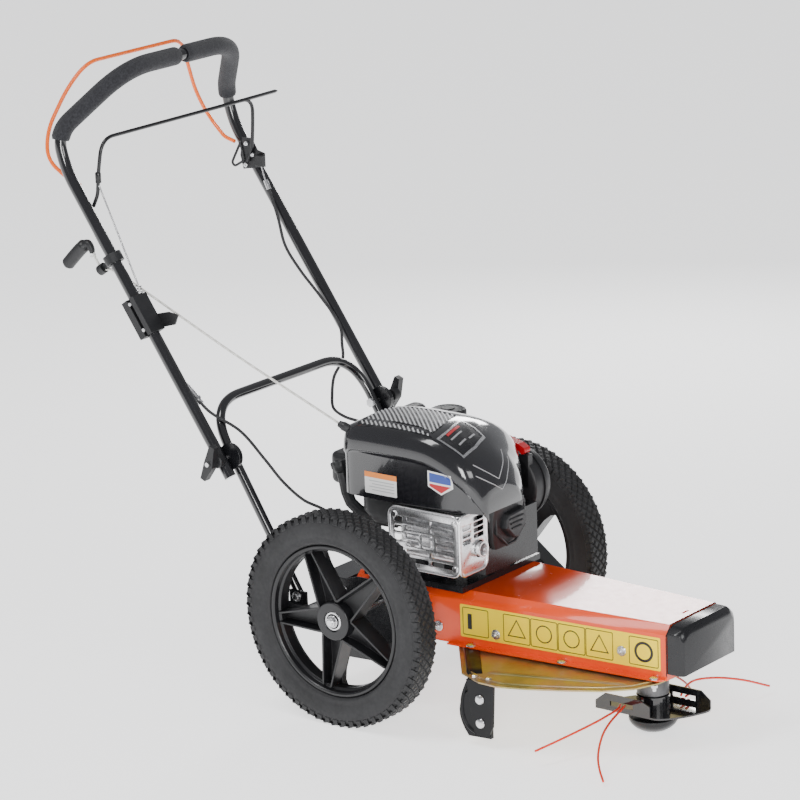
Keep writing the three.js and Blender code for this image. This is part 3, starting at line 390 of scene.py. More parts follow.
def smooth_path(points, steps):
    """A centripetal Catmull-Rom curve through points in millimetres; returned in metres."""
    p = [Vector(q) for q in points]
    p = [2 * p[0] - p[1]] + p + [2 * p[-1] - p[-2]]
    made = []
    spans = len(p) - 3
    for n in range(steps + 1):
        i = min(int(n * spans / steps), spans - 1)
        t = n * spans / steps - i
        a, b, c, d = p[i:i + 4]
        ab, bc, cd = ((v - u).length ** 0.5 for u, v in ((a, b), (b, c), (c, d)))
        m1 = ((b - a) / ab - (c - a) / (ab + bc) + (c - b) / bc) * bc
        m2 = ((c - b) / bc - (d - b) / (bc + cd) + (d - c) / cd) * bc
        made.append(b + m1 * t + (-3 * b + 3 * c - 2 * m1 - m2) * t * t
                    + (2 * b - 2 * c + m1 + m2) * t ** 3)
    return [at(*q) for q in made]


def evened(path, spacing):
    """The same line with points about spacing metres apart."""
    lengths = [0.0]
    for a, b in zip(path, path[1:]):
        lengths.append(lengths[-1] + (b - a).length)
    count = max(2, round(lengths[-1] / spacing))
    made, i = [], 0
    for n in range(count + 1):
        want = lengths[-1] * n / count
        while i < len(path) - 2 and lengths[i + 1] < want:
            i += 1
        t = (want - lengths[i]) / (lengths[i + 1] - lengths[i])
        made.append(path[i].lerp(path[i + 1], min(t, 1.0)))
    return made


def mirrored(points):
    return list(points) + [(-x, y, z) for x, y, z in reversed(points)]


def washered_nut(bm, spot, outward, washer, crown, nut):
    """A domed washer under a hexagon nut. washer and crown are (radius, height) pairs; nut is its
    size and the two heights that it runs between."""
    lathe(bm, [(0, 0), (washer[0], 0), washer, crown, (0, crown[1])], spot, outward, 28)
    hexagon(bm, spot, outward, *nut)


def arc(cx, cy, radius, start, stop, count=6):
    """Points round an arc, angles in degrees."""
    angles = (math.radians(start + (stop - start) * i / count) for i in range(count + 1))
    return [(cx + radius * math.cos(a), cy + radius * math.sin(a)) for a in angles]


def rounded_box_outline(x0, x1, y0, y1, r, count=5):
    return (arc(x1 - r, y1 - r, r, 0, 90, count) + arc(x0 + r, y1 - r, r, 90, 180, count)
            + arc(x0 + r, y0 + r, r, 180, 270, count) + arc(x1 - r, y0 + r, r, 270, 360, count))


def finish_piece(name, bm, material, body="chassis", stands_for=(), crease=35, bevel=0.0,
                 segments=2):
    """Turns bm into a piece that rides on a body, or on none when body is None.
    bevel is in millimetres."""
    bmesh.ops.recalc_face_normals(bm, faces=bm.faces)
    mesh = bpy.data.meshes.new(name)
    bm.to_mesh(mesh)
    bm.free()
    mesh.materials.append(material)
    for face in mesh.polygons:
        face.use_smooth = True
    mesh.set_sharp_from_angle(angle=math.radians(crease))
    piece = bpy.data.objects.new(name, mesh)
    bpy.context.scene.collection.objects.link(piece)
    if bevel:
        round_edges(piece, bevel, segments)
    if body:
        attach(piece, body)
    if stands_for:
        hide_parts(*stands_for)
    return piece


def round_edges(piece, width, segments):
    modifier = piece.modifiers.new("rounded_edges", "BEVEL")
    modifier.width = width * MM
    modifier.segments = segments
    modifier.limit_method = "ANGLE"
    modifier.angle_limit = math.radians(38)
    modifier.harden_normals = True


def dress(node, material, bevel, segments):
    """A CAD node keeps its shape and gets its finish, with its sharp edges rounded."""
    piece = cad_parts[node]
    piece.data.materials.clear()
    piece.data.materials.append(material)
    if bevel:
        weld = piece.modifiers.new("weld", "WELD")
        weld.merge_threshold = 0.00002
        round_edges(piece, bevel, segments)


def plate(name, outer, holes, thickness, place, material, edge=0.5):
    """A stamped sheet: a filled outline with holes cut through, in millimetres, set by place."""
    data = bpy.data.curves.new(name, "CURVE")
    data.dimensions = "2D"
    data.fill_mode = "BOTH"
    data.extrude = max(thickness / 2 - edge, 0.05) * MM
    data.bevel_depth = edge * MM
    data.bevel_resolution = 1
    data.offset = -edge * MM
    for outline in [outer, *holes]:
        spline = data.splines.new("POLY")
        spline.points.add(len(outline) - 1)
        for point, (x, y) in zip(spline.points, outline):
            point.co = (x * MM, y * MM, 0, 1)
        spline.use_cyclic_u = True
    helper = bpy.data.objects.new(name + "_outline", data)
    bpy.context.scene.collection.objects.link(helper)
    bpy.context.view_layer.update()
    mesh = bpy.data.meshes.new_from_object(helper.evaluated_get(
        bpy.context.evaluated_depsgraph_get()))
    bpy.data.objects.remove(helper)
    mesh.transform(place)
    mesh.materials.clear()
    mesh.materials.append(material)
    bm = bmesh.new()
    bm.from_mesh(mesh)
    bmesh.ops.remove_doubles(bm, verts=bm.verts, dist=1e-6)
    bpy.data.meshes.remove(mesh)
    return finish_piece(name, bm, material)


def basis(origin, across, up):
    """A placing matrix whose X is across, whose Y is up and whose Z is their cross product."""
    across, up = Vector(across).normalized(), Vector(up).normalized()
    turn = Matrix((across, up, across.cross(up))).transposed().to_4x4()
    return Matrix.Translation(origin) @ turn


def hexagon(bm, origin, axis, size, low, high):
    """A hexagonal nut or bolt head with a chamfered crown."""
    lathe(bm, [(0, low), (size, low), (size, high - size * 0.12), (size * 0.86, high), (0, high)],
          origin, axis, 6)


# ------------------------------------------------------------------ CAD nodes that keep their shape
# Each row: the finish, the width in millimetres and the steps of its rounded edges, and the nodes.
KEPT_NODES = (
    (STEEL, 0, 2, ("axle",)),
    (STEEL, 0.3, 2, ("clamp_bolt_left", "clamp_bolt_right")),
    (DARK_STEEL, 0.4, 2, ("spindle_shaft", "crankshaft", "idler_pulley", "spindle_pulley",
                          "engine_pulley", "gearbox_pulley")),
    (DARK_STEEL, 0.5, 2, ("idler_arm",)),
    (BELT, 0.6, 2, ("head_belt", "drive_belt")),
    (ZINC, 0.8, 2, ("stone_guard",)),
    (SATIN_BLACK, 0.8, 2, ("skid_bracket",)),
    (BLACK_PAINT, 0.8, 2, ("clamp_left", "clamp_right")),
    (BLACK_PAINT, 1.2, 3, ("rear_frame",)),
    (BLACK_PAINT, 2.5, 3, ("engine_crankcase",)),
    (GLOSS_BLACK, 0.9, 3, ("trimmer_head",)),
    (PLASTIC, 1.0, 2, ("oil_filler_tube",)),
    (PLASTIC, 1.0, 3, ("rope_guide",)),
    (PLASTIC, 1.2, 3, ("throttle_lever",)),
    (PLASTIC, 1.6, 3, ("clamp_knob_left", "clamp_knob_right")),
    (PLASTIC, 2.2, 3, ("throttle_box",)),
    (RED, 1.4, 3, ("air_filter_latch",)),
    (ORANGE, 1.3, 3, ("deck_housing",)),
    (CAST, 2.0, 3, ("gearbox",)),
)
for node_finish, edge_width, edge_steps, kept_nodes in KEPT_NODES:
    for kept_node in kept_nodes:
        dress(kept_node, node_finish, edge_width, edge_steps)

# ------------------------------------------------------------------ trimmer lines
HEAD_Y = -440
HEAD_Z = 35
LINE_R = 1.95
LINE_Z = HEAD_Z + 13
TRIMMER_LINES = (
    ((-44, 33, 0), (-62, 26, 0), (-100, 24, -1), (-121, 26, -3), (-185, 42, -12), (-239, 62, -22)),
    ((-44, 25, 0), (-60, 20, 0), (-110, 8, -4), (-152, -6, -10), (-204, -33, -22), (-235, -57, -30),
     (-256, -78, -38)),
    ((44, -24, 0), (60, -18, 3), (96, -14, 7), (129, -30, 5), (178, -52, -9), (238, -68, -35)),
    ((44, -33, 0), (62, -30, 0), (100, 0, -4), (150, 60, -14), (190, 130, -26)),
)


def trimmer_line(number, points):
    path = smooth_path([(x, HEAD_Y + y, LINE_Z + z) for x, y, z in points], 48)
    bm = bmesh.new()
    sweep(bm, path, LINE_R, 12)
    name = f"nylon_line_{number}"
    piece = finish_piece(name, bm, NYLON, "cutting_head", stands_for=[f"trimmer_line_{number}"],
                         crease=60)


for index, route in enumerate(TRIMMER_LINES):
    trimmer_line(index + 1, route)


# ------------------------------------------------------------------ wheels
WHEEL_R = 178
TYRE_MID_X = 240
RIM_R = 127
SPOKES = 5
SPOKE_PHASE = 64.5
SPOKE_BACK = -15
# Along a spoke from the hub: radius, half width, rib thickness, rib height and floor height.
SPOKE_SECTIONS = ((27, 21.5, 4.2, 16.5, 2), (40, 20, 3.8, 16.2, -3), (75, 15, 3.6, 15.6, -5),
                  (RIM_R - 11, 9.6, 3.4, 15, -4))
SPOKE_WEB = ((27, 24), (50, 18.5), (90, 14), (108, 15.5), (RIM_R - 9, 22))
KNOB_PITCHES = 66
KNOB_ROWS = (-17.2, -8.6, 0, 8.6, 17.2)
KNOB_HALF = 7.4                      # half the width of a tread block at its foot
KNOB_TOP = 0.62                      # the size of its top against its foot
KNOB_BASE_R = 174.6
SHOULDER_R = 171.5
SIDES = {"left": 1, "right": -1}


def wheel_point(side, angle, radius, offset):
    """A point round the wheel: angle from +Y towards +Z, offset along the axle, outwards."""
    return at(side * (TYRE_MID_X + offset), radius * math.cos(angle),
              WHEEL_R + radius * math.sin(angle))


def tread_knob(bm, side, angle, offset, half_turn):
    """A lozenge block with sloping sides."""
    corners = ((-1, 0), (0, -1), (1, 0), (0, 1))
    rings = []
    for radius, size in ((KNOB_BASE_R - 0.6, 1.0), (WHEEL_R, KNOB_TOP)):
        rings.append([wheel_point(side, angle + size * half_turn * u, radius,
                                  offset + size * KNOB_HALF * v) for u, v in corners])
    loft(bm, rings)


def shoulder_lug(bm, side, angle, edge, half_turn):
    """A block on the tyre's shoulder, which makes its outline toothed."""
    rings = []
    for radius, offset, size in ((SHOULDER_R - 5, edge * 24.4, 1.0), (SHOULDER_R + 3.6, edge * 22.6, 0.8),
                                 (WHEEL_R - 1.4, edge * 18.6, 0.6)):
        rings.append([wheel_point(side, angle + u * size * half_turn, radius + dr, offset + do)
                      for u, dr, do in ((-1, 0, 0), (1, 0, 0), (1, -5, -edge * 4), (-1, -5, -edge * 4))])
    loft(bm, rings)


def tyre(label, side):
    bm = bmesh.new()
    wall = [(RIM_R + 0.4, -19), (129, -21.5), (133, -23), (138, -22.2), (141, -23.2), (152, -24),
            (162, -23.8), (169, -22.2), (172.8, -19), (KNOB_BASE_R, -13), (KNOB_BASE_R + 0.3, 0)]
    profile = wall + [(r, -h) for r, h in reversed(wall[:-1])]
    lathe(bm, profile, at(side * TYRE_MID_X, 0, WHEEL_R), (side, 0, 0), 128, closed=True)
    step = 2 * math.pi / KNOB_PITCHES
    for i in range(KNOB_PITCHES):
        for row, offset in enumerate(KNOB_ROWS):
            shift = 0.5 * (row % 2)
            tread_knob(bm, side, (i + shift) * step, offset, step * 0.47)
        for edge in (-1, 1):
            shoulder_lug(bm, side, (i + 0.5) * step, edge, step * 0.3)
    finish_piece(f"ribbed_tyre_{label}", bm, TYRE, f"wheel_{label}", stands_for=[f"tyre_{label}"],
                 crease=50)


def spoke_ring(side, angle, radius, outline):
    """An outline of (across, outwards) pairs set square to a spoke, radius out from the hub."""
    radial = Vector((0, math.cos(angle), math.sin(angle)))
    across = Vector((0, -math.sin(angle), math.cos(angle)))
    centre = at(side * TYRE_MID_X, 0, WHEEL_R)
    return [centre + (radial * radius + across * u + Vector((side * w, 0, 0))) * MM for u, w in outline]


def spoke(bm, side, angle):
    """A tapering channel: two ribs on a web, deepest at the hub."""
    rings = []
    for radius, half, rib, front, floor in SPOKE_SECTIONS:
        outline = [(-half, SPOKE_BACK), (half, SPOKE_BACK), (half, front), (half - rib, front),
                   (half - rib * 1.3, floor), (-half + rib * 1.3, floor), (-half + rib, front),
                   (-half, front)]
        rings.append(spoke_ring(side, angle, radius, outline))
    loft(bm, rings)


def spoke_back(bm, side, angle):
    """The wider web behind each spoke, flared to the hub and to the rim."""
    rings = []
    for radius, half in SPOKE_WEB:
        outline = ((-half, -16.5), (half, -16.5), (half * 0.8, -9), (-half * 0.8, -9))
        rings.append(spoke_ring(side, angle, radius, outline))
    loft(bm, rings)


def rim(label, side):
    bm = bmesh.new()
    centre = at(side * TYRE_MID_X, 0, WHEEL_R)
    band = [(RIM_R - 0.4, -19), (RIM_R - 0.4, 19), (RIM_R - 2, 21), (RIM_R - 5.5, 21), (RIM_R - 7.5, 19),
            (RIM_R - 8.5, 11), (RIM_R - 12.5, 9), (RIM_R - 13, -9), (RIM_R - 9, -13), (RIM_R - 7, -19)]
    lathe(bm, band, centre, (side, 0, 0), 128, closed=True)
    hub = [(9, -20), (28, -20), (31, -17), (32, 12), (32, 19.2), (30.5, 20.4), (17.5, 20.4),
           (16.5, 19.2), (16, 15), (9, 15)]
    lathe(bm, hub, centre, (side, 0, 0), 72, closed=True)
    for i in range(SPOKES):
        angle = math.radians(SPOKE_PHASE + 360 / SPOKES * i)
        spoke(bm, side, angle)
        spoke_back(bm, side, angle)
    finish_piece(f"spoked_rim_{label}", bm, RIM_PLASTIC, f"wheel_{label}",
                 stands_for=[f"wheel_rim_{label}"], crease=32, bevel=0.8)


def wheel_bearing(label, side):
    """The bright bearing ring sunk in the hub."""
    bm = bmesh.new()
    centre = at(side * TYRE_MID_X, 0, WHEEL_R)
    lathe(bm, [(11, 15), (15.6, 15), (15.6, 18.6), (14.8, 19.2), (12.6, 19.2), (11.6, 17.6)], centre,
          (side, 0, 0), 48, closed=True)
    finish_piece(f"wheel_bearing_{label}", bm, STEEL, f"wheel_{label}")


def axle_nut(label, side):
    bm = bmesh.new()
    start = at(side * (TYRE_MID_X + 20 + GAP), 0, WHEEL_R)
    outward = (side, 0, 0)
    lathe(bm, [(0, -1), (10.5, -1), (10.5, 0.6), (9.8, 1.4), (0, 1.4)], start, outward, 40)
    hexagon(bm, start, outward, 9.2, 1.2, 6.5)
    lathe(bm, [(5.8, 6), (5.8, 8.2), (4.8, 9), (0, 9)], start, outward, 24)
    finish_piece(f"axle_nut_and_washer_{label}", bm, STEEL, stands_for=[f"axle_nut_{label}"], crease=28,
                 bevel=0.3)


for wheel_label, wheel_side in SIDES.items():
    tyre(wheel_label, wheel_side)
    rim(wheel_label, wheel_side)
    wheel_bearing(wheel_label, wheel_side)
    axle_nut(wheel_label, wheel_side)

# ------------------------------------------------------------------ deck
DECK_FRONT_Y = -519
DECK_KNEE_Y = -60
DECK_FRONT_HALF = 77
DECK_TAPER = 0.07
DECK_BOTTOM_Z = 119
DECK_TOP_Z = 208
FLANGE_W = 12
CAP_BACK_Y = DECK_FRONT_Y - GAP
CAP_BOTTOM_Z = 130
CAP_BEND = 15


def deck_half(y):
    return DECK_FRONT_HALF + DECK_TAPER * (min(y, DECK_KNEE_Y) - DECK_FRONT_Y)


def deck_side_place(side):
    """Places flat work on a deck side: X runs from the knee towards the front, Y is up, Z out."""
    start = at(side * (deck_half(DECK_KNEE_Y) + 0.15), DECK_KNEE_Y, 0)
    stop = at(side * (deck_half(DECK_FRONT_Y) + 0.15), DECK_FRONT_Y, 0)
    across = stop - start
    if side > 0:
        return basis(stop, -across, (0, 0, 1)), across.length / MM
    return basis(start, across, (0, 0, 1)), across.length / MM


def belt_cover():
    """The black front cap: three faces that roll over into one another."""
    bm = bmesh.new()

    def ring(y, inset, top_drop, corner):
        half = DECK_FRONT_HALF - 0.6 - inset
        top = DECK_TOP_Z - 0.4 - top_drop
        bend = CAP_BEND
        shoulder = [(half, top - bend - corner), (half - 0.6 - corner * 0.2, top - bend * 0.75),
                    (half - bend * 0.55, top - bend * 0.3), (half - bend, top)]
        outline = [(half, CAP_BOTTOM_Z)] + shoulder
        outline += [(-x, z) for x, z in reversed(outline)]
        return [at(x, y, z) for x, z in outline]

    loft(bm, [ring(CAP_BACK_Y, 0, 0, 0), ring(-530, 0, 0.2, 0), ring(-541, 0.2, 0.6, 0.2),
              ring(-544, 0.9, 3.2, 0.4), ring(-547.6, 3.2, 8.5, 0.8), ring(-549.4, 6.0, 12, 1)])
    finish_piece("rolled_belt_cover", bm, BLACK_PAINT, stands_for=["front_belt_cover"], crease=40,
                 bevel=0.6)


def deck_seam():
    """The folded lip that laps the front edge of the deck under its cap."""
    bm = bmesh.new()
    half = DECK_FRONT_HALF
    outline = [(half + 0.4, 126), (half + 0.4, 193.6), (half - 13.8, DECK_TOP_Z + 0.5)]
    outline += [(-x, z) for x, z in reversed(outline)]
    path = [at(x, DECK_FRONT_Y + 0.4, z) for x, z in outline]
    sweep(bm, path, 0.9, 8)
    finish_piece("deck_front_seam", bm, BLACK_PAINT)


DECK_SIDE_BOLTS = ((-97, 144), (-206, 146), (-438, 156))
FLANGE_BOLTS = (-162, -332, -500)
CARRIAGE_HEAD = [(0, -0.2), (8.2, -0.2), (8.2, 0.9), (7.2, 2.4), (4.4, 3.6), (0, 4.0)]


def deck_fasteners():
    bm = bmesh.new()
    for side in (1, -1):
        outward = Vector((side, 0, 0))
        for y, z in DECK_SIDE_BOLTS:
            spot = at(side * (deck_half(y) + 0.2), y, z)
            washered_nut(bm, spot, outward, (8.6, 1.2), (7.6, 1.9), (5.9, 1.7, 6))
            lathe(bm, [(3.1, 5.6), (3.1, 8.2), (2.5, 8.8), (0, 8.8)], spot, outward, 16)
        for y in FLANGE_BOLTS:
            x = side * (deck_half(y) + FLANGE_W * 0.55)
            top = at(x, y, DECK_BOTTOM_Z + 3)
            lathe(bm, CARRIAGE_HEAD, top, (0, 0, 1), 24)
            below = at(x, y, DECK_BOTTOM_Z - 7.3)
            hexagon(bm, below, (0, 0, -1), 5.6, 0, 5)
            lathe(bm, [(3, 4.6), (3, 10), (2.4, 10.8), (0, 10.8)], below, (0, 0, -1), 16)
    finish_piece("deck_fasteners", bm, STEEL, crease=28, bevel=0.25)


belt_cover()
deck_seam()
deck_fasteners()


# ------------------------------------------------------------------ stickers on the deck side
# Distances along the deck side from its knee, and heights from the ground.
STRIP_START, STRIP_END = 79, 449
STRIP_LOW, STRIP_HIGH = 133, 188
STICKER_T = 0.3
STRIP_FRAMES = ((83, 133), (160, 211), (211, 262), (262, 313), (313, 364), (392, 446))


def sticker(name, outline, holes, place, material):
    return plate(name, outline, holes, STICKER_T, place, material, edge=0.06)


def frame_outline(x0, x1, y0, y1, line):
    outer = rounded_box_outline(x0, x1, y0, y1, 3)
    inner = rounded_box_outline(x0 + line, x1 - line, y0 + line, y1 - line, 3 - line * 0.6)
    return outer, inner


def regular(cx, cy, radius, sides):
    """The corners of a regular polygon, the first of them straight up."""
    angles = [math.radians(90 + 360 * i / sides) for i in range(sides)]
    return [(cx + radius * math.cos(a), cy + radius * math.sin(a)) for a in angles]


def bar_shape(x, z):
    return rounded_box_outline(x - 15, x - 7, z - 13, z + 13, 1), []


def triangle_shape(x, z):
    return regular(x, z - 3, 20, 3), [regular(x, z - 3, 16.5, 3)]


def circle_shape(x, z):
    return regular(x, z, 15, 32), [regular(x, z, 13, 32)]


def ring_shape(x, z):
    return regular(x, z, 17, 40), [regular(x, z, 12.5, 40)]


STRIP_SHAPES = (bar_shape, triangle_shape, circle_shape, circle_shape, triangle_shape, ring_shape)


def deck_strip(label, side):
    """A plain yellow strip with empty ruled boxes and simple shapes that say nothing."""
    place, length = deck_side_place(side)

    def along(x):
        return length - x if side > 0 else x

    def span(x0, x1):
        return sorted((along(x0), along(x1)))

    left, right = span(STRIP_START, STRIP_END)
    sticker(f"yellow_strip_{label}", rounded_box_outline(left, right, STRIP_LOW, STRIP_HIGH, 2.5), [],
            place, YELLOW)
    lift = Matrix.Translation(place.to_3x3() @ Vector((0, 0, 0.2 * MM))) @ place
    height = (STRIP_LOW + STRIP_HIGH) / 2
    for number, (x0, x1) in enumerate(STRIP_FRAMES):
        a, b = span(x0, x1)
        outer, inner = frame_outline(a + 0.4, b - 0.4, STRIP_LOW + 4, STRIP_HIGH - 4, 1.3)
        sticker(f"strip_box_{label}_{number + 1}", outer, [inner], lift, INK)
        shape, holes = STRIP_SHAPES[number]((a + b) / 2, height)
        sticker(f"strip_shape_{label}_{number + 1}", shape, holes, lift, INK)


for strip_label, strip_side in SIDES.items():
    deck_strip(strip_label, strip_side)


# ------------------------------------------------------------------ guard and skid
GUARD_TOP_Z = 115.3
SKID_MID_X = -214
GUARD_BEAD = ((97, -139), (193, -217), (213, -262), (215, -300), (199, -343), (174, -396),
              (147, -444), (117, -478), (84, -494))
RIB_ENDS = ((182, -250), (112, -468))
RIB_Z = 113.5
# Along a rib, its place, half width and height; then its section, on a half width and height of 1.
RIB_SECTIONS = ((-0.01, 1.5, 1.0), (0.0, 4.5, 1.8), (0.03, 6.4, 3.4), (0.97, 6.4, 3.4),
                (1.0, 4.5, 1.8), (1.01, 1.5, 1.0))
RIB_OUTLINE = ((-1, -0.4), (1, -0.4), (0.95, 0.5), (0.55, 1), (-0.55, 1), (-0.95, 0.5))


def guard_beads():
    """The rolled edge of the guard, and a pressed rib on each side of it."""
    bm = bmesh.new()
    for side in (1, -1):
        path = [at(side * x, y, GUARD_TOP_Z) for x, y in GUARD_BEAD]
        sweep(bm, path, 2.0, 10)
    finish_piece("guard_rolled_edge", bm, ZINC)
    ribs = bmesh.new()
    for side in (1, -1):
        start, stop = (Vector((side * x, y, RIB_Z)) for x, y in RIB_ENDS)
        across = Vector((0, 0, 1)).cross(stop - start).normalized()
        rings = []
        for t, half, height in RIB_SECTIONS:
            centre = start.lerp(stop, t)
            rings.append([at(*(centre + across * half * u + Vector((0, 0, height * w))))
                          for u, w in RIB_OUTLINE])
        loft(ribs, rings)
    finish_piece("guard_pressed_ribs", ribs, ZINC, crease=50)


def skid_bolts():
    bm = bmesh.new()
    for z in (42, 82):
        lathe(bm, CARRIAGE_HEAD, at(SKID_MID_X - 4.1, -258, z), (-1, 0, 0), 24)
    for y in (-245, -272):
        hexagon(bm, at(-212, y, GUARD_TOP_Z - 0.1), (0, 0, 1), 5.2, 0, 4.6)
    finish_piece("skid_bolts", bm, STEEL, crease=28, bevel=0.25)


def skid_flange():
    """The skid's turned edge: a rounded flange that sweeps back and down from the guard."""
    bm = bmesh.new()
    profile = ((-236, 112), (-228, 96), (-221, 74), (-222, 50), (-231, 32), (-246, 23))
    edge = smooth_path([(SKID_MID_X, y, z) for y, z in profile], 40)
    for offset, radius in ((0, 3.2), (5, 3.0), (10, 2.8)):
        sweep(bm, [p + Vector((offset * MM, 0, 0)) for p in edge], radius, 10)
    finish_piece("skid_turned_edge", bm, SATIN_BLACK, crease=60)


SKID_ARM = [(-99, -143, 117.1), (-140, -176, 117.1), (-180, -208, 117.1), (-198, -222, 116.2),
            (-207, -231, 111), (-211.5, -238, 100), (-213, -241, 84)]


def skid_arm():
    """The pressed strap that carries the skid: out along the guard's rear edge, then down."""
    bm = bmesh.new()
    across = Vector((0.631, -0.775, 0))  # level, and square to the guard's rear edge
    route = smooth_path(SKID_ARM, 42)
    rings = []
    for i, point in enumerate(route):
        tangent = (route[min(i + 1, len(route) - 1)] - route[max(i - 1, 0)]).normalized()
        normal = tangent.cross(across).normalized()
        rings.append([point + (across * u + normal * w) * MM
                      for u, w in ((0, -1.2), (0.8, -1.6), (21, -1.6), (22, -1.2), (22, 1.2), (21, 1.6),
                                   (0.8, 1.6), (0, 1.2))])
    loft(bm, rings)
    sweep(bm, route, 2.6, 10)
    finish_piece("skid_arm", bm, SATIN_BLACK, crease=40)


guard_beads()
skid_bolts()
skid_flange()
skid_arm()

FRAME_FACE_X = 117.1
LOWER_BOLT_X = 203.1
FRAME_BOLTS = ((-30, 182), (34, 182), (90, 176), (120, 96), (-30, 92))


def frame_fasteners():
    """Bolts through the side plates of the rear frame, and the lower handle's bolts."""
    bm = bmesh.new()
    for side in (1, -1):
        outward = Vector((side, 0, 0))
        for y, z in FRAME_BOLTS:
            spot = at(side * FRAME_FACE_X, y, z)
            washered_nut(bm, spot, outward, (8, 1.1), (7, 1.8), (5.6, 1.5, 5))
        washered_nut(bm, at(side * LOWER_BOLT_X, 118, 184), outward, (8.4, 1.1), (7, 1.8), (5.9, 1.5, 6))
    finish_piece("frame_fasteners", bm, STEEL, crease=28, bevel=0.25)


frame_fasteners()

# ------------------------------------------------------------------ spindle and trimmer head
HEAD_AT = at(0, HEAD_Y, 0)


def spindle_housing():
    bm = bmesh.new()
    profile = [(10, 62), (24.5, 62), (26, 63.5), (26, 84), (24.6, 86), (24.6, 90), (26, 92), (26, 104),
               (28, 109), (33, 112.4), (38, 114.6), (38, 115.3), (44, 115.3), (44, 121), (26, 121),
               (24, 150), (10, 150)]
    lathe(bm, profile, HEAD_AT, (0, 0, 1), 80, closed=True)
    finish_piece("cast_spindle_housing", bm, CAST, stands_for=["spindle_housing"], bevel=0.4)


def glide_cup():
    bm = bmesh.new()
    profile = [(0, 0), (14, 0.6), (24, 3.4), (31, 7.6), (36, 12.4), (39.2, 17.4), (40, 21.4), (39.4, 24),
               (34, 25.6), (0, 25.6)]
    lathe(bm, profile, HEAD_AT, (0, 0, 1), 80)
    finish_piece("smooth_glide_cup", bm, BLACK_PAINT, "cutting_head", stands_for=["glide_cup"], crease=50)


spindle_housing()
glide_cup()


NUT_CIRCLE_R = 19
HUB_TOP_Z = 61.2


def head_hardware():
    """The four nuts that hold the head plate to the spindle hub."""
    bm = bmesh.new()
    for turn in range(4):
        angle = math.radians(45 + 90 * turn)
        spot = at(NUT_CIRCLE_R * math.cos(angle), HEAD_Y + NUT_CIRCLE_R * math.sin(angle), HUB_TOP_Z)
        hexagon(bm, spot, (0, 0, 1), 3.6, 0, 3)
    finish_piece("head_screws", bm, STEEL, "cutting_head", crease=28, bevel=0.2)


head_hardware()

# ------------------------------------------------------------------ handles, grips and bails
TUBE_R = 10
LOWER_TUBE_R = 8
FOAM_R = 15.5
TUBE_LEAN = math.atan2(480, 324)
HANDLE_X = 217
HANDLE_CORNERS = [(HANDLE_X, 236, 372), (HANDLE_X, 560, 852), (HANDLE_X, 575, 912), (138, 487, 1014)]
LOWER_CORNERS = [(190, 118, 176), (190, 300, 480)]
OPERATOR_CORNERS = [(200, 546, 824), (200, 568, 830), (208, 610, 862), (190, 621, 908), (152, 606, 974),
                    (120, 588, 1013)]
DRIVE_CORNERS = [(200, 519, 791), (200, 508, 812), (200, 504, 850), (195, 497, 906)]
CLAMP_FACE_X = 227.3
BAIL_R = 3.2
BAIL_HORN = ((150, 497, 906), (258, 499, 906), (264, 499, 906))
GRIP_START_Z = 898
GRIP_END_X = 7


def tube_piece(name, path, radius, material, body, node, sides=24, spacing=0.006):
    bm = bmesh.new()
    sweep(bm, evened(path, spacing), radius, sides)
    finish_piece(name, bm, material, body, [node], crease=50)


def handles():
    upper = rounded_path(mirrored(HANDLE_CORNERS), [60, 40, 60, 60, 40, 60], 14)
    tube_piece("swept_upper_handle", upper, TUBE_R, GLOSS_BLACK, "upper_handle", "upper_handle")
    lower = rounded_path(mirrored(LOWER_CORNERS), [80, 80], 16)
    tube_piece("swept_lower_handle", lower, LOWER_TUBE_R, GLOSS_BLACK, "chassis", "lower_handle")
    return upper


def foam_grip(label, side, upper):
    """A foam sleeve over the bent end of the handle, rounded where it stops."""
    half = [p for p in evened(upper, 0.004) if p.x * side > GRIP_END_X * MM and p.z > GRIP_START_Z * MM]
    if side < 0:
        half = half[::-1]
    radii = []
    for i in range(len(half)):
        inset = min(i, len(half) - 1 - i) * 4
        radii.append(FOAM_R - 1.6 * max(0.0, 1 - inset / 6) ** 2)
    bm = bmesh.new()
    sweep(bm, half, radii, 36)
    piece = finish_piece(f"foam_grip_{label}", bm, FOAM, "upper_handle", stands_for=[f"grip_{label}"],
                         crease=60)


def bails():
    """The orange bail over the grips, and the black one with its horn and cable anchor."""
    path = rounded_path(mirrored(OPERATOR_CORNERS), [8, 30, 40, 40, 30, 30, 40, 40, 30, 8], 10)
    tube_piece("swept_operator_bail", path, 3.4, BAIL_ORANGE, "operator_bail", "operator_bail", 14, 0.004)
    path = rounded_path(mirrored(DRIVE_CORNERS), [8, 20, 40, 40, 20, 8], 10)
    bm = bmesh.new()
    sweep(bm, evened(path, 0.004), BAIL_R, 14)
    sweep(bm, [at(*p) for p in BAIL_HORN], (BAIL_R, BAIL_R, BAIL_R / 2), 14)
    lathe(bm, [(0, -7), (4.2, -7), (5, -5), (5, 5), (4.2, 7), (0, 7)], at(-200, 505, 843), (0, 0, 1), 20)
    brick(bm, -203, -197, 501, 509, 832, 838)
    finish_piece("swept_drive_bail", bm, BLACK_PAINT, "drive_bail", stands_for=["drive_bail"], crease=50,
                 bevel=0.2)


UPPER_PATH = handles()
for grip_label, grip_side in SIDES.items():
    foam_grip(grip_label, grip_side, UPPER_PATH)
bails()


BAIL_PLATE = ((512, 832), (532, 832), (538, 800), (532, 776), (484, 784), (484, 808), (500, 812))
BAIL_BOLTS = ((522, 822), (509, 804), (525, 784))
WIRE_LOOP = [(203, 536, 822), (200, 554, 786), (200, 548, 780), (203, 528, 792)]


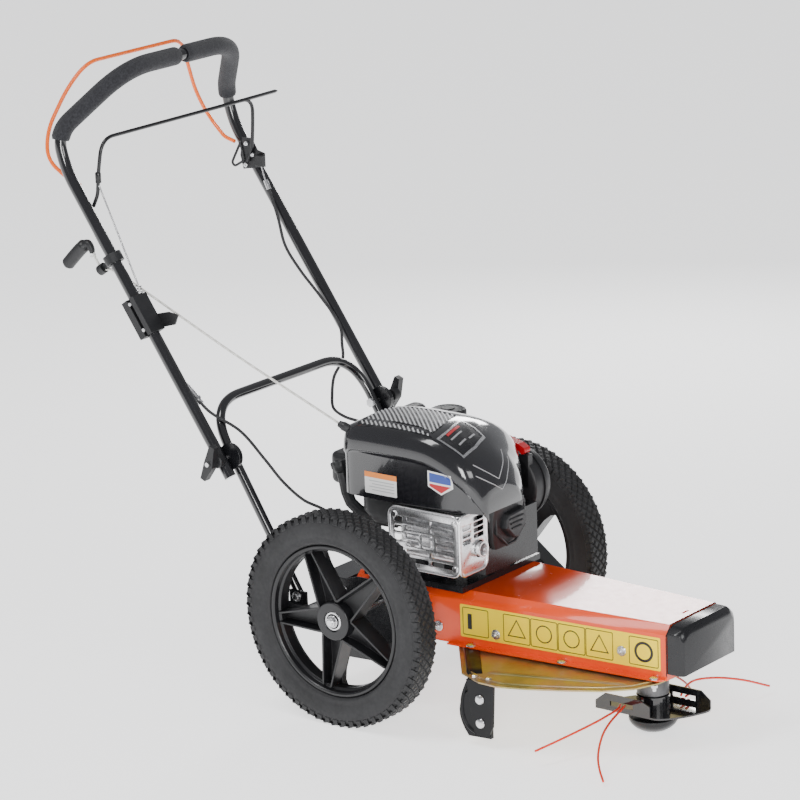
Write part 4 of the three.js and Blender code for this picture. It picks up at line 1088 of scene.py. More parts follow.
def bail_brackets():
    """The bracket on the far leg, its wire loop and its bolts."""
    bm = bmesh.new()
    steel = bmesh.new()
    side_prism(bm, BAIL_PLATE, 204, 206.6)
    for y, z in BAIL_BOLTS:
        hexagon(steel, at(203.9, y, z), (-1, 0, 0), 4.6, 0, 3.6)
        lathe(steel, [(2.4, 3), (2.4, 6), (0, 6)], at(203.9, y, z), (-1, 0, 0), 14)
    sweep(bm, rounded_path(WIRE_LOOP + [WIRE_LOOP[0]], [5, 5, 5], 4), 2.2, 10)
    finish_piece("bail_bushes", bm, PLASTIC, "upper_handle")
    finish_piece("bail_bolts", steel, STEEL, "upper_handle", crease=28, bevel=0.2)


def clamp_hardware():
    bm = bmesh.new()
    for side in (1, -1):
        hexagon(bm, at(side * CLAMP_FACE_X, 251, 401), (side, 0, 0), 6, 0, 4.5)
    finish_piece("pivot_nuts", bm, STEEL, "upper_handle", crease=28, bevel=0.25)


def knob(label, side):
    """The turned boss behind a clamp knob."""
    centre = at(side * CLAMP_FACE_X, 245, 403)
    outward = Vector((side, 0, 0))
    bm = bmesh.new()
    lathe(bm, [(4.6, 0.3), (10, 0.3), (11, 3), (11.4, 13), (9.5, 14.6), (4.6, 14.6)], centre, outward, 48)
    finish_piece(f"knob_boss_{label}", bm, PLASTIC, f"clamp_knob_{label}", crease=40)


bail_brackets()
clamp_hardware()
for knob_label, knob_side in SIDES.items():
    knob(knob_label, knob_side)


SPRING_SAMPLES = 14


def coil_spring(bm, start, stop, radius, wire, turns):
    """A helical spring between two points in metres."""
    axis = (stop - start).normalized()
    side = axis.orthogonal().normalized()
    other = axis.cross(side)
    count = turns * SPRING_SAMPLES
    path = []
    for i in range(count + 1):
        angle = 2 * math.pi * i / SPRING_SAMPLES
        path.append(start.lerp(stop, i / count)
                    + radius * MM * (math.cos(angle) * side + math.sin(angle) * other))
    sweep(bm, path, wire, 8)


STARTER_X = -204
STARTER_BAR = ((583, 684), (569, 698), (552, 714), (536, 727))
STARTER_THROAT = ((545, 722), (532, 727), (525, 718), (524, 712))


def starter_handle():
    """A thick moulded bar with a slimmer throat that curls round to the rope."""
    bm = bmesh.new()
    bar = smooth_path([(STARTER_X, y, z) for y, z in STARTER_BAR], 30)
    count = len(bar) - 1
    radii = [11.2 - 5.2 * max(0.0, abs(2 * i / count - 1) - 0.82) / 0.18 for i in range(count + 1)]
    sweep(bm, bar, radii, 24)
    throat = smooth_path([(STARTER_X, y, z) for y, z in STARTER_THROAT], 16)
    sweep(bm, throat, [8.4 - 4.2 * i / 16 for i in range(17)], 20)
    finish_piece("starter_handle_bar", bm, PLASTIC, "starter_grip", stands_for=["starter_grip"],
                 crease=50)
    ring = bmesh.new()
    lathe(ring, [(2.4, 0), (5.2, 0), (5.6, 1.2), (5.2, 2.4), (2.4, 2.4)], at(STARTER_X, 523, 709),
          (0, -0.6, -0.8), 24, closed=True)
    finish_piece("starter_handle_ferrule", ring, WHITE, "starter_grip")


starter_handle()


THROTTLE_BOX_Z = 624


def throttle_box_detail():
    """The two screws in the throttle box's near side."""
    bm = bmesh.new()
    lean = Vector((0, math.cos(TUBE_LEAN), math.sin(TUBE_LEAN)))
    foot_y, foot_z = HANDLE_CORNERS[0][1:]
    middle = at(-HANDLE_X, foot_y + (THROTTLE_BOX_Z - foot_z) / math.tan(TUBE_LEAN), THROTTLE_BOX_Z)
    for offset in (-24, 24):
        spot = middle + lean * offset * MM + Vector((-17.2 * MM, 0, 0))
        lathe(bm, [(0, 0), (3.4, 0), (3.0, 1.2), (0, 1.6)], spot, (-1, 0, 0), 18)
    finish_piece("throttle_box_screws", bm, STEEL, "upper_handle", crease=30)


throttle_box_detail()

# ------------------------------------------------------------------ engine
# From the back forwards: y, left, right, bottom, shoulder height and crown height.
SHROUD_SECTIONS = [
    (52, -146, 86, 360, 462, 466), (44, -158, 92, 360, 470, 474), (20, -164, 94, 360, 477, 481),
    (-60, -166, 94, 360, 479, 483), (-118, -164, 88, 360, 476, 480), (-150, -162, 58, 359, 466, 469),
    (-178, -158, 22, 359, 450, 453), (-198, -150, -4, 359, 430, 433), (-212, -136, -28, 356, 402, 406),
]
# The crown's long fall to the far side: parts of the width, and drops from the crown.
FAR_DROP = 88
FAR_FALL = ((0.28, 0), (0.40, -0.6), (0.52, -3), (0.63, -10), (0.74, -22), (0.82, -33), (0.88, -44),
            (0.93, -55), (0.96, -64), (0.985, -76), (1.0, -FAR_DROP))
FAR_WALL = 8                         # the least upright left below the fall


def shroud_ring(y, left, right, bottom, shoulder, crown):
    """One cross-section: near panel, raised band, edge, crown and the long fall to the far side."""
    width = right - left
    fall = min(1.0, (crown - bottom - FAR_WALL) / FAR_DROP)
    near = [(left + 4, bottom), (left + 4, shoulder - 46), (left + 2.6, shoulder - 42),
            (left, shoulder - 38), (left, shoulder - 30), (left + 1.2, shoulder - 20),
            (left + 4.5, shoulder - 10), (left + 10, shoulder - 2.5), (left + 14, shoulder),
            (left + 18, shoulder + 1.2)]
    outline = near + [(left + width * u, crown + dz * fall) for u, dz in FAR_FALL] + [(right, bottom)]
    return [(x, y, z) for x, z in outline]


def blend_sections(sections, per_span):
    """Extra sections between the given ones, on a smooth curve through them."""
    y_values = [s[0] for s in sections]
    made = []
    for i in range(len(sections) - 1):
        before = sections[max(i - 1, 0)]
        low, high = sections[i], sections[i + 1]
        after = sections[min(i + 2, len(sections) - 1)]
        for n in range(per_span):
            t = n / per_span
            row = [low[0] + (high[0] - low[0]) * t]
            for a, b, c, d in zip(before[1:], low[1:], high[1:], after[1:]):
                step = y_values[i + 1] - y_values[i]
                reach_in = y_values[i + 1] - before[0]
                reach_out = after[0] - y_values[i]
                m1 = (c - a) / reach_in * step
                m2 = (d - b) / reach_out * step
                row.append((2 * t ** 3 - 3 * t * t + 1) * b + (t ** 3 - 2 * t * t + t) * m1
                           + (3 * t * t - 2 * t ** 3) * c + (t ** 3 - t * t) * m2)
            made.append(tuple(row))
    made.append(sections[-1])
    return made


def shroud():
    """The blower housing, with its front end turned in like a moulding's."""
    bm = bmesh.new()
    rings = []
    sections = blend_sections(SHROUD_SECTIONS, 5)
    for section in sections:
        rings.append([at(*p) for p in shroud_ring(*section)])
    for inset, depth in ((3.5, 3), (10, 4.5)):
        y, left, right, bottom, shoulder, crown = SHROUD_SECTIONS[-1]
        rings.append([at(*p) for p in shroud_ring(y - depth, left + inset, right - inset, bottom,
                                                  shoulder - inset * 1.6, crown - inset * 1.8)])
    loft(bm, rings)
    return finish_piece("blower_shroud", bm, GLOSS_BLACK, stands_for=["engine_shroud"], crease=27,
                        bevel=0.9, segments=3)


SHROUD = shroud()


def surface_tree(piece):
    """A ray-cast tree of one piece's plain mesh."""
    mesh = piece.data
    corners = [v.co.copy() for v in mesh.vertices]
    return BVHTree.FromPolygons(corners, [tuple(p.vertices) for p in mesh.polygons])


SHROUD_SURFACE = surface_tree(SHROUD)


def on_shroud(start, direction, otherwise, lift):
    """Where a straight line meets the shroud, raised along its normal; otherwise is for a miss."""
    hit, normal = SHROUD_SURFACE.ray_cast(start, Vector(direction))[:2]
    return otherwise if hit is None else hit + normal * lift * MM


def on_top(x, y, lift):
    return on_shroud(at(x, y, 520), (0, 0, -1), at(x, y, 440), lift)


def on_side(y, z, lift):
    return on_shroud(at(-260, y, z), (1, 0, 0), at(-160, y, z), lift)


def on_front(x, z, lift):
    return on_shroud(at(x, -330, z), (0, 1, 0), at(x, -212, z), lift)


DRAPE_SPACING = 3.0


def draped(name, outline, holes, project, thickness, material):
    """A thin sheet cut to an outline and laid on a curved surface by project(u, v, lift)."""
    flat = plate(name, outline, holes, 0.4, Matrix.Identity(4), material, 0.05)
    bm = bmesh.new()
    bm.from_mesh(flat.data)
    bmesh.ops.delete(bm, geom=[f for f in bm.faces if f.calc_center_median().z < 0.00015
                               or abs(f.normal.z) < 0.9], context="FACES")
    for axis in (0, 1):
        low = min(v.co[axis] for v in bm.verts)
        high = max(v.co[axis] for v in bm.verts)
        cuts = int((high - low) / (DRAPE_SPACING * MM))
        normal = Vector((1, 0, 0)) if axis == 0 else Vector((0, 1, 0))
        for i in range(1, cuts + 1):
            middle = normal * (low + (high - low) * i / (cuts + 1))
            bmesh.ops.bisect_plane(bm, geom=bm.verts[:] + bm.edges[:] + bm.faces[:], plane_co=middle,
                                   plane_no=normal, dist=1e-7)
    for v in bm.verts:
        v.co = project(v.co.x / MM, v.co.y / MM, thickness)
    bmesh.ops.recalc_face_normals(bm, faces=bm.faces)
    bm.to_mesh(flat.data)
    bm.free()
    for face in flat.data.polygons:
        face.use_smooth = True


# The openings in the air grille, seen from above: each is filled with slanting bars.
GRILLE_ZONES = (
    ((-122, 30), (-56, 34), (-34, 4), (-34, -60), (-40, -94), (-104, -112), (-134, -118),
     (-124, -84), (-122, -40)),
    ((-148, 22), (-134, 22), (-133, -60), (-140, -108), (-147, -126), (-149, -100), (-149, -50)),
)
BAR_PITCH = 6.6
BAR_HALF = 1.55


def inside(outline, x, y):
    found = False
    for (x1, y1), (x2, y2) in zip(outline, outline[1:] + outline[:1]):
        if (y1 > y) != (y2 > y) and x < (x2 - x1) * (y - y1) / (y2 - y1) + x1:
            found = not found
    return found


def bar_runs(outline, offset):
    """The stretches of one diagonal line (x - y = offset * root 2) that lie inside an outline."""
    runs, start = [], None
    for step in range(-400, 401):
        t = step * 0.8
        x = (t + offset) / math.sqrt(2)
        y = (t - offset) / math.sqrt(2)
        within = inside(outline, x, y)
        if within and start is None:
            start = t
        if not within and start is not None:
            runs.append((start, t))
            start = None
    return runs


def grille():
    """Slanting bars over the openings, each opening filled with a flat black sheet as painted shade for a
    recess.
    """
    bm = bmesh.new()
    for outline in GRILLE_ZONES:
        outline = list(outline)
        for i in range(-60, 61):
            offset = i * BAR_PITCH
            for start, stop in bar_runs(outline, offset):
                if stop - start < 5:
                    continue
                count = max(2, int((stop - start) / 7))
                rings = []
                for n in range(count + 1):
                    t = start + (stop - start) * n / count
                    ring = []
                    for across, lift in ((-BAR_HALF, 0.05), (BAR_HALF, 0.05), (BAR_HALF * 0.7, 1.3),
                                         (-BAR_HALF * 0.7, 1.3)):
                        x = (t + offset + across) / math.sqrt(2)
                        y = (t - offset - across) / math.sqrt(2)
                        ring.append(on_top(x, y, lift))
                    rings.append(ring)
                loft(bm, rings)
    finish_piece("air_grille_bars", bm, GREY_PLASTIC, crease=40)
    for number, outline in enumerate(GRILLE_ZONES):
        # A flat black sheet in each opening is painted shade, standing in for the dark recess under the
        # bars.
        draped(f"air_grille_recess_{number + 1}", list(outline), [], on_top, 0.12, INK)
        path = [on_top(x, y, 0.5) for x, y in list(outline) + [outline[0]]]
        rim_bm = bmesh.new()
        sweep(rim_bm, path, 1.0, 8)
        finish_piece(f"air_grille_rim_{number + 1}", rim_bm, GLOSS_BLACK)


grille()

BADGE = ((-146, -134), (-100, -126), (-56, -114), (-53, -142), (-58, -166), (-100, -178), (-140, -183),
         (-145, -158))
BADGE_FIELD = ((-142, -138), (-100, -130), (-60, -119), (-57, -142), (-61, -162), (-100, -174),
               (-137, -179), (-141, -157))
BADGE_BARS = ((-122, -78, -140, -135), (-126, -88, -150, -147), (-124, -100, -164, -161),
              (-92, -72, -160, -157))


def badge():
    """A plain rating plate: a bright frame round a dark field with blank bars."""
    draped("badge_frame", list(BADGE), [list(BADGE_FIELD)], on_top, 0.75, STEEL)
    draped("badge_field", list(BADGE_FIELD), [], on_top, 0.45, BLACK_PAINT)
    for number, (x0, x1, y0, y1) in enumerate(BADGE_BARS):
        outline = [(x0, y0), (x1, y0 + (x1 - x0) * 0.2), (x1, y1 + (x1 - x0) * 0.2), (x0, y1)]
        paint = RED if number == 0 else LABEL_GREY
        draped(f"badge_bar_{number + 1}", outline, [], on_top, 0.8, paint)


CHEVRONS = (((-132, 436), (-88, 405), (-38, 436)), ((-136, 420), (-86, 388), (-30, 424)))


def chevrons():
    """Two raised V lines on the nose of the shroud, coloured light grey as a painted highlight along their
    ridges.
    """
    bm = bmesh.new()
    for points in CHEVRONS:
        path = []
        for (x0, z0), (x1, z1) in zip(points, points[1:]):
            count = 16
            path += [on_front(x0 + (x1 - x0) * i / count, z0 + (z1 - z0) * i / count, 0.3)
                     for i in range(count)]
        path.append(on_front(*points[-1], 0.3))
        sweep(bm, path, 0.8, 8)
    # The grey of these lines is a painted highlight standing in for light caught on the ridges.
    finish_piece("nose_chevrons_painted_highlight", bm, LABEL_GREY)


def side_labels():
    """Two blank stickers on the near panel."""
    label = rounded_box_outline(-64, 1, 369, 405, 2)
    draped("side_label", label, [], on_side, 0.2, WHITE)
    band = [(-64, 396), (1, 396), (1, 405), (-64, 405)]
    draped("side_label_band", band, [], on_side, 0.35, LABEL_ORANGE)
    for row in range(4):
        z = 390 - row * 5
        bar = [(-59, z), (-8 - 6 * (row % 2), z), (-8 - 6 * (row % 2), z + 1.3), (-59, z + 1.3)]
        draped(f"side_label_line_{row + 1}", bar, [], on_side, 0.35, LABEL_GREY)
    sticker_outline = [(-171, 421), (-125, 424), (-125, 398), (-150, 386), (-172, 399)]
    draped("side_sticker", sticker_outline, [], on_side, 0.2, WHITE)
    field = [(-168, 418), (-128, 421), (-128, 406), (-168, 404)]
    draped("side_sticker_field", field, [], on_side, 0.35, LABEL_BLUE)
    corner = [(-168, 401), (-128, 403), (-128, 399), (-150, 389)]
    draped("side_sticker_corner", corner, [], on_side, 0.35, RED)


badge()
chevrons()
side_labels()

# ------------------------------------------------------------------ muffler and its guard
SHIELD = {"x0": -168, "x1": -96, "y0": -190, "y1": -52, "z0": 258, "z1": 357}
GUARD_SHEET = 1.6
GUARD_SCREWS = ((-181, 345), (-62, 345), (-181, 270))
MUFFLER_RIBS = (292, 308, 324)
OUTLET = {"x": -116, "z": 293, "r": 11}


def muffler_guard():
    """Three stamped plates: the near side and the front carry slots, the top wraps over."""
    s = SHIELD
    width, height = s["y1"] - s["y0"], s["z1"] - s["z0"]
    side_place = basis(at(s["x0"], s["y1"], s["z0"]), (0, -1, 0), (0, 0, 1))
    outer = rounded_box_outline(0, width, 0, height, 15, 8)
    slots = []
    rows = 6
    pitch = (height - 18) / rows
    for i in range(rows):
        z = 10 + pitch * i
        narrow = i in (2, 3)
        top = z + pitch * (0.7 if narrow else 0.62)
        slots.append(rounded_box_outline(34, 58 if narrow else 76, z, top, 3))
        slots.append(rounded_box_outline(92 if narrow else 82, 126, z, top, 3))
    slots.append(rounded_box_outline(64, 86, 10 + pitch * 2, 10 + pitch * 3.7, 4))
    for i in range(3):
        slots.append(rounded_box_outline(9, 26, 44 + 15 * i, 54 + 15 * i, 3))
    slots.append(arc(17, 24, 8, 0, 342, 19))
    side = plate("guard_side_plate", outer, slots, GUARD_SHEET, side_place, SILVER)
    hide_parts("muffler_guard")
    depth = s["x1"] - s["x0"]
    front_place = basis(at(s["x0"], s["y0"], s["z0"]), (1, 0, 0), (0, 0, 1))
    front = rounded_box_outline(0, depth, 0, height, 14, 8)
    front_slots = [rounded_box_outline(38, 65, 55 + 9.6 * i, 62 + 9.6 * i, 2.6) for i in range(4)]
    front_slots.append(arc(OUTLET["x"] - s["x0"], OUTLET["z"] - s["z0"], OUTLET["r"] + 3, 0, 350, 30))
    front_slots += [rounded_box_outline(8, 30, 50 + 12 * i, 58 + 12 * i, 3) for i in range(3)]
    plate("guard_front_plate", front, front_slots, GUARD_SHEET, front_place, SILVER)
    bm = bmesh.new()
    for place, outline in ((side_place, outer), (front_place, front)):
        path = [place @ Vector((x * MM, y * MM, 0)) for x, y in outline]
        sweep(bm, evened(path + [path[0]], 0.003), 2.6, 10)
    finish_piece("guard_rolled_frames", bm, SILVER, crease=60)
    top_place = basis(at(s["x0"], s["y0"], s["z1"] - 1), (0, 1, 0), (1, 0, 0))
    top = rounded_box_outline(0, width, 0, depth - 4, 12, 6)
    top_slots = [rounded_box_outline(20 + 36 * i, 46 + 36 * i, 24, 34, 3) for i in range(3)]
    top_slots += [rounded_box_outline(26 + 36 * i, 52 + 36 * i, 42, 52, 3) for i in range(3)]
    plate("guard_top_plate", top, top_slots, GUARD_SHEET, top_place, SILVER)


def muffler_can():
    """A pressed can with a seam, raised ribs and its outlet ring; a black disc inside the ring is painted
    shade for the bore.
    """
    bm = bmesh.new()
    for grow, y0, y1 in ((0, -178, -66), (1.8, -124, -120)):
        outline = rounded_box_outline(-154 - grow, -101 + grow, 271 - grow, 345 + grow, 14 + grow, 6)
        loft(bm, [[at(x, y, z) for x, z in outline] for y in (y0, y1)])
    for z in MUFFLER_RIBS:
        outline = rounded_box_outline(-170, -74, z - 2.4, z + 2.4, 2.2)
        loft(bm, [[at(x, y, zz) for y, zz in outline] for x in (-157, -153)])
    finish_piece("muffler_can", bm, SILVER, stands_for=["muffler"], crease=40, bevel=0.8)
    ring = bmesh.new()
    outlet = at(OUTLET["x"], -178, OUTLET["z"])
    r = OUTLET["r"]
    lathe(ring, [(r - 1.4, 0), (r + 1, 0), (r + 1, 19), (r + 2.4, 20.5), (r + 2.2, 21.6), (r - 0.4, 21.6),
          (r - 1.4, 19.6)], outlet, (0, -1, 0), 48, closed=True)
    finish_piece("muffler_outlet", ring, SILVER, crease=40)
    # A black disc a little way into the outlet ring: painted shade standing in for the depth of the bore.
    dark = bmesh.new()
    lathe(dark, [(0, 4), (r - 1.2, 4), (r - 1.2, 5), (0, 5)], outlet, (0, -1, 0), 32)
    finish_piece("muffler_bore_painted_shade", dark, INK)
    screws = bmesh.new()
    for y, z in GUARD_SCREWS:
        lathe(screws, [(0, 0), (5.4, 0), (5.4, 0.8), (4.2, 2.2), (0, 2.6)], at(-168.9, y, z),
              (-1, 0, 0), 20)
    finish_piece("guard_screws", screws, STEEL, crease=30)


muffler_guard()
muffler_can()

# ------------------------------------------------------------------ crankcase and covers
FIN_COUNT = 7
FIN_LOW_Z = 244
FIN_PITCH = 13
FIN_T = 3.2


def cylinder_fins():
    """Cooling fins round the cylinder, between the muffler and the air filter."""
    bm = bmesh.new()
    for i in range(FIN_COUNT):
        z = FIN_LOW_Z + i * FIN_PITCH
        outline = rounded_box_outline(-64, 54, -183, -70, 10)
        flat_prism(bm, outline, z, z + FIN_T)
    finish_piece("cylinder_fins", bm, BLACK_PAINT, crease=40, bevel=0.4)


def louvred_cover():
    """The shield-shaped cover at the cylinder's end, with three louvres in its face."""
    c = {"x0": -74, "x1": -16, "z0": 294, "z1": 342}
    outline = [(c["x0"] + 4, c["z1"] - 12), (c["x0"] + 10, c["z1"] - 3), (c["x1"] - 3, c["z1"]),
               (c["x1"], c["z1"] - 4), (c["x1"], c["z0"] + 22), (c["x1"] - 22, c["z0"] + 2),
               (c["x0"] + 26, c["z0"] + 1), (c["x0"] + 4, c["z0"] + 22)]
    bm = bmesh.new()
    shrink = ((-186, 1.0), (-207, 1.0), (-211.5, 0.96), (-213.6, 0.86))
    cx, cz = (c["x0"] + c["x1"]) / 2, (c["z0"] + c["z1"]) / 2
    loft(bm, [[at(cx + (x - cx) * f, y, cz + (z - cz) * f) for x, z in outline] for y, f in shrink])
    finish_piece("cylinder_end_cover", bm, PLASTIC, stands_for=["cylinder_cover"], bevel=0.9, segments=3)
    ribs = bmesh.new()
    for i in range(3):
        z = c["z1"] - 14 - i * 8
        reach = 19 - i * 3
        ring = [(-213.4, z), (-215.6, z + 1.6), (-215.2, z + 3.4), (-213.4, z + 3.8)]
        loft(ribs, [[at(cx + sign * reach, y, zz) for y, zz in ring] for sign in (-1, 1)])
    finish_piece("cylinder_cover_louvres", ribs, PLASTIC, bevel=0.3)


COVER_FRAME = [(-82, 335), (-70, 349), (-8, 352), (-6, 348), (-6, 306), (-32, 285), (-54, 284),
               (-82, 310)]


def louvred_surround():
    """The moulded frame round the end cover."""
    bm = bmesh.new()
    path = [at(x, -200, z) for x, z in COVER_FRAME + [COVER_FRAME[0]]]
    sweep(bm, path, 2.4, 10)
    finish_piece("cylinder_cover_frame", bm, PLASTIC, crease=50)


# Downwards: height, left, right and front.
APRON_SECTIONS = ((357, -93, -10, -208), (340, -92, -6, -203), (318, -90, -5, -199),
                  (296, -86, -8, -197), (280, -78, -22, -195))


def nose_apron():
    """The moulding below the shroud's nose, which carries the cylinder's end cover."""
    bm = bmesh.new()
    rings = []
    for z, left, right, front in APRON_SECTIONS:
        rings.append([at(x, y, z) for x, y in ((left, -186), (left, front + 8), (left + 2.4, front + 2.4),
                                               (left + 8, front), (right - 8, front),
                                               (right - 2.4, front + 2.4), (right, front + 8),
                                               (right, -186))])
    loft(bm, rings)
    finish_piece("nose_apron", bm, PLASTIC, bevel=0.8)


def blower_base():
    """The engine block's upper casting, which closes the space below the shroud."""
    bm = bmesh.new()
    outline = rounded_box_outline(-134, 74, -50, 38, 22, 6)
    lower = rounded_box_outline(-118, 66, -50, 32, 22, 6)
    loft(bm, [[at(x, y, z) for x, y in ring] for z, ring in ((304, lower), (326, outline), (361, outline))])
    finish_piece("blower_base", bm, PLASTIC, crease=40, bevel=1.0)


nose_apron()
blower_base()
cylinder_fins()
louvred_cover()
louvred_surround()


EDGE_STEPS = 5


def moulded_block(bm, x0, x1, y0, y1, z0, z1, corner, edge):
    """A box with round corners in plan and a round edge all the way round its top and bottom."""
    rings = []
    for lower_edge in (True, False):
        for i in range(EDGE_STEPS + 1):
            angle = math.pi / 2 * (i / EDGE_STEPS)
            if lower_edge:
                inset, z = edge * (1 - math.sin(angle)), z0 + edge * (1 - math.cos(angle))
            else:
                inset, z = edge * (1 - math.cos(angle)), z1 - edge * (1 - math.sin(angle))
            outline = rounded_box_outline(x0 + inset, x1 - inset, y0 + inset, y1 - inset,
                                          max(corner - inset, 1), 6)
            rings.append([at(x, y, z) for x, y in outline])
    loft(bm, rings)


def fuel_tank():
    """The blow-moulded tank with its raised back, side pod, neck and parting line."""
    bm = bmesh.new()
    moulded_block(bm, -100, 158, 56, 126, 350, 402, 18, 9)
    moulded_block(bm, -98, 90, 57, 90, 380, 450, 14, 11)
    moulded_block(bm, 102, 158, 12, 80, 350, 407.6, 14, 9)
    lathe(bm, [(24, 400), (24, 410), (22, 412), (20, 412), (20, 419.6), (0, 419.6)], at(127, 47, 0),
          (0, 0, 1), 48)
    finish_piece("moulded_fuel_tank", bm, PLASTIC, stands_for=["fuel_tank"], crease=40)
    seam = bmesh.new()
    outline = rounded_box_outline(-100.4, 158.4, 56, 126.4, 18, 8)
    path = [at(x, y, 377) for x, y in outline]
    sweep(seam, path + [path[0]], 1.1, 8)
    for x in (-60, -10, 40):
        moulded_block(seam, x - 16, x + 16, 88, 92.5, 412, 440, 2, 1.6)
    finish_piece("fuel_tank_seam", seam, PLASTIC, crease=50)


fuel_tank()


REAR_FACE_Y = 138
REAR_BOLTS = ((-102, 100), (102, 100), (-102, 182), (102, 182))


def rear_plate_detail():
    """A pressed panel and its bolts on the back of the rear frame."""
    bm = bmesh.new()
    outline = rounded_box_outline(-86, 86, 102, 178, 10, 6)
    path = [at(x, REAR_FACE_Y, z) for x, z in outline]
    sweep(bm, path + [path[0]], 1.8, 10)
    finish_piece("rear_pressed_panel", bm, BLACK_PAINT, crease=50)
    bolts = bmesh.new()
    for x, z in REAR_BOLTS:
        washered_nut(bolts, at(x, REAR_FACE_Y + 0.1, z), (0, 1, 0), (7.6, 1.1), (6.8, 1.7),
                     (5.4, 1.5, 4.6))
    finish_piece("rear_panel_bolts", bolts, STEEL, crease=28, bevel=0.25)


rear_plate_detail()

# ------------------------------------------------------------------ air filter, caps and latch
FILTER = {"x0": 95, "x1": 118, "x2": 142, "y": -94, "z": 330, "r": 62}
FILTER_AT = at(0, FILTER["y"], FILTER["z"])


def air_filter():
    f = FILTER
    body = bmesh.new()
    lathe(body, [(0, f["x0"]), (f["r"] - 8, f["x0"]), (f["r"] - 4, f["x0"] + 3),
                 (f["r"] - 2.4, f["x1"] - 2), (f["r"] - 2.8, f["x1"] - 0.2), (0, f["x1"] - 0.2)],
          FILTER_AT, (1, 0, 0), 96)
    brick(body, f["x0"], 108, -138, -118, 330, 386.6)
    finish_piece("filter_back_half", body, PLASTIC, stands_for=["air_filter_housing"], crease=40,
                 bevel=0.8)
    cover = bmesh.new()
    lathe(cover, [(0, f["x1"] + 0.3), (f["r"] - 0.2, f["x1"] + 0.3), (f["r"], f["x1"] + 1.4),
                  (f["r"], f["x1"] + 5), (f["r"] - 1.8, f["x1"] + 6.4), (f["r"] - 2.4, f["x2"] - 9),
                  (f["r"] - 5, f["x2"] - 4), (f["r"] - 11, f["x2"] - 1.2), (34, f["x2"] - 0.4),
                  (31, f["x2"] - 1.8), (26, f["x2"] - 1.8), (23, f["x2"] - 0.2), (0, f["x2"])],
          FILTER_AT, (1, 0, 0), 96)
    finish_piece("filter_cover", cover, PLASTIC, stands_for=["air_filter_cover"], crease=40)


def ribbed_cap(name, body, base, axis, profile, ribs, depth):
    """A turned cap whose rim swells into grip ribs."""
    bm = bmesh.new()
    lathe(bm, profile, base, axis, ribs * 6)
    outer = max(r for r, _ in profile)
    direction = Vector(axis).normalized()
    for v in bm.verts:
        offset = v.co - base
        height = offset.dot(direction)
        radial = offset - direction * height
        reach = radial.length / MM
        if reach > outer * 0.86:
            side = direction.orthogonal().normalized()
            angle = math.atan2(radial.dot(direction.cross(side)), radial.dot(side))
            cut = depth * (0.5 - 0.5 * math.cos(ribs * angle))
            v.co = base + direction * height + radial * (1 - cut / reach)
    finish_piece(name, bm, PLASTIC, body, [body], crease=45)


def caps():
    ribbed_cap("ribbed_fuel_cap", "fuel_cap", at(127, 47, 420.3), (0, 0, 1),
               [(0, 0), (29.5, 0), (31, 1.2), (31, 9), (29.4, 11.2), (26, 12.4), (25, 12), (12, 12.2),
                (11, 13.6), (0, 13.6)], 18, 1.6)
    foot, top = Vector((-121, 62, 330)), Vector((-122, 78, 382))
    ribbed_cap("ribbed_dipstick_cap", "dipstick_cap", at(*top), (top - foot).normalized(),
               [(0, 0.6), (11.6, 0.6), (13.4, 4), (15.8, 9), (16, 16.6), (14.6, 18.4), (9, 19), (8, 17.8),
                (0, 17.8)], 8, 1.5)


air_filter()
caps()

# ------------------------------------------------------------------ cables, rope and springs
STARTER_ROPE = [(-207, 482, 690), (-197, 462, 677), (-188, 430, 657), (-172, 250, 566), (-152, 58, 474)]
THROTTLE_CABLE = [(-200, 398, 574), (-202, 366, 533), (-203, 323, 503), (-202, 290, 474),
                  (-168, 252, 436), (-160, 209, 392), (-155, 176, 357), (-148, 140, 330),
                  (-138, 112, 318), (-124, 84, 300)]
DRIVE_CABLE = [(196, 470, 748), (197, 454, 700), (198, 441, 651), (198, 409, 610), (198, 369, 571),
               (196, 326, 524), (190, 318, 494), (184, 313, 469), (170, 322, 440), (150, 312, 414),
               (132, 296, 397), (118, 262, 390), (106, 222, 390), (98, 170, 384), (94, 130, 378)]
ROPE_EYE = (-207.5, 500, 688.5)
GRIP_KNOT = (STARTER_X, 527, 722)
CABLE_R = 2.6
ROPE_R = 2.0


def crossing_tube(name, path, radius, material, nodes):
    """A tube that rides on no body, its placing baked into its mesh."""
    bm = bmesh.new()
    sweep(bm, path, radius, 12)
    piece = finish_piece(name, bm, material, None, nodes, crease=60)
    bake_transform(piece)


def cables():
    throttle = evened(smooth_path(THROTTLE_CABLE, 200), 0.004)
    crossing_tube("throttle_cable_sheath", throttle, CABLE_R, BELT, ["throttle_cable"])
    drive = evened(smooth_path(DRIVE_CABLE, 240), 0.004)
    crossing_tube("drive_cable_sheath", drive, CABLE_R, BELT, ["drive_cable"])
    rope = evened(smooth_path(STARTER_ROPE, 160), 0.006)
    crossing_tube("starter_rope_run", rope, ROPE_R, ROPE, ["starter_rope"])
    stub = evened(smooth_path([STARTER_ROPE[0], ROPE_EYE, (-205, 512, 698), GRIP_KNOT], 40), 0.003)
    crossing_tube("starter_rope_stub", stub, ROPE_R, ROPE, ())


def cable_fittings():
    """The bright threaded sleeve on one cable, with its two nuts."""
    bm = bmesh.new()
    sleeve = smooth_path([(-202, 366, 533), (-203, 323, 503), (-202.5, 303, 484)], 24)
    sweep(bm, sleeve, 4.6, 16)
    hexagon(bm, sleeve[4], sleeve[5] - sleeve[4], 6.2, 0, 5)
    hexagon(bm, sleeve[18], sleeve[19] - sleeve[18], 6.2, 0, 5)
    finish_piece("cable_adjuster", bm, STEEL, "upper_handle", crease=30)


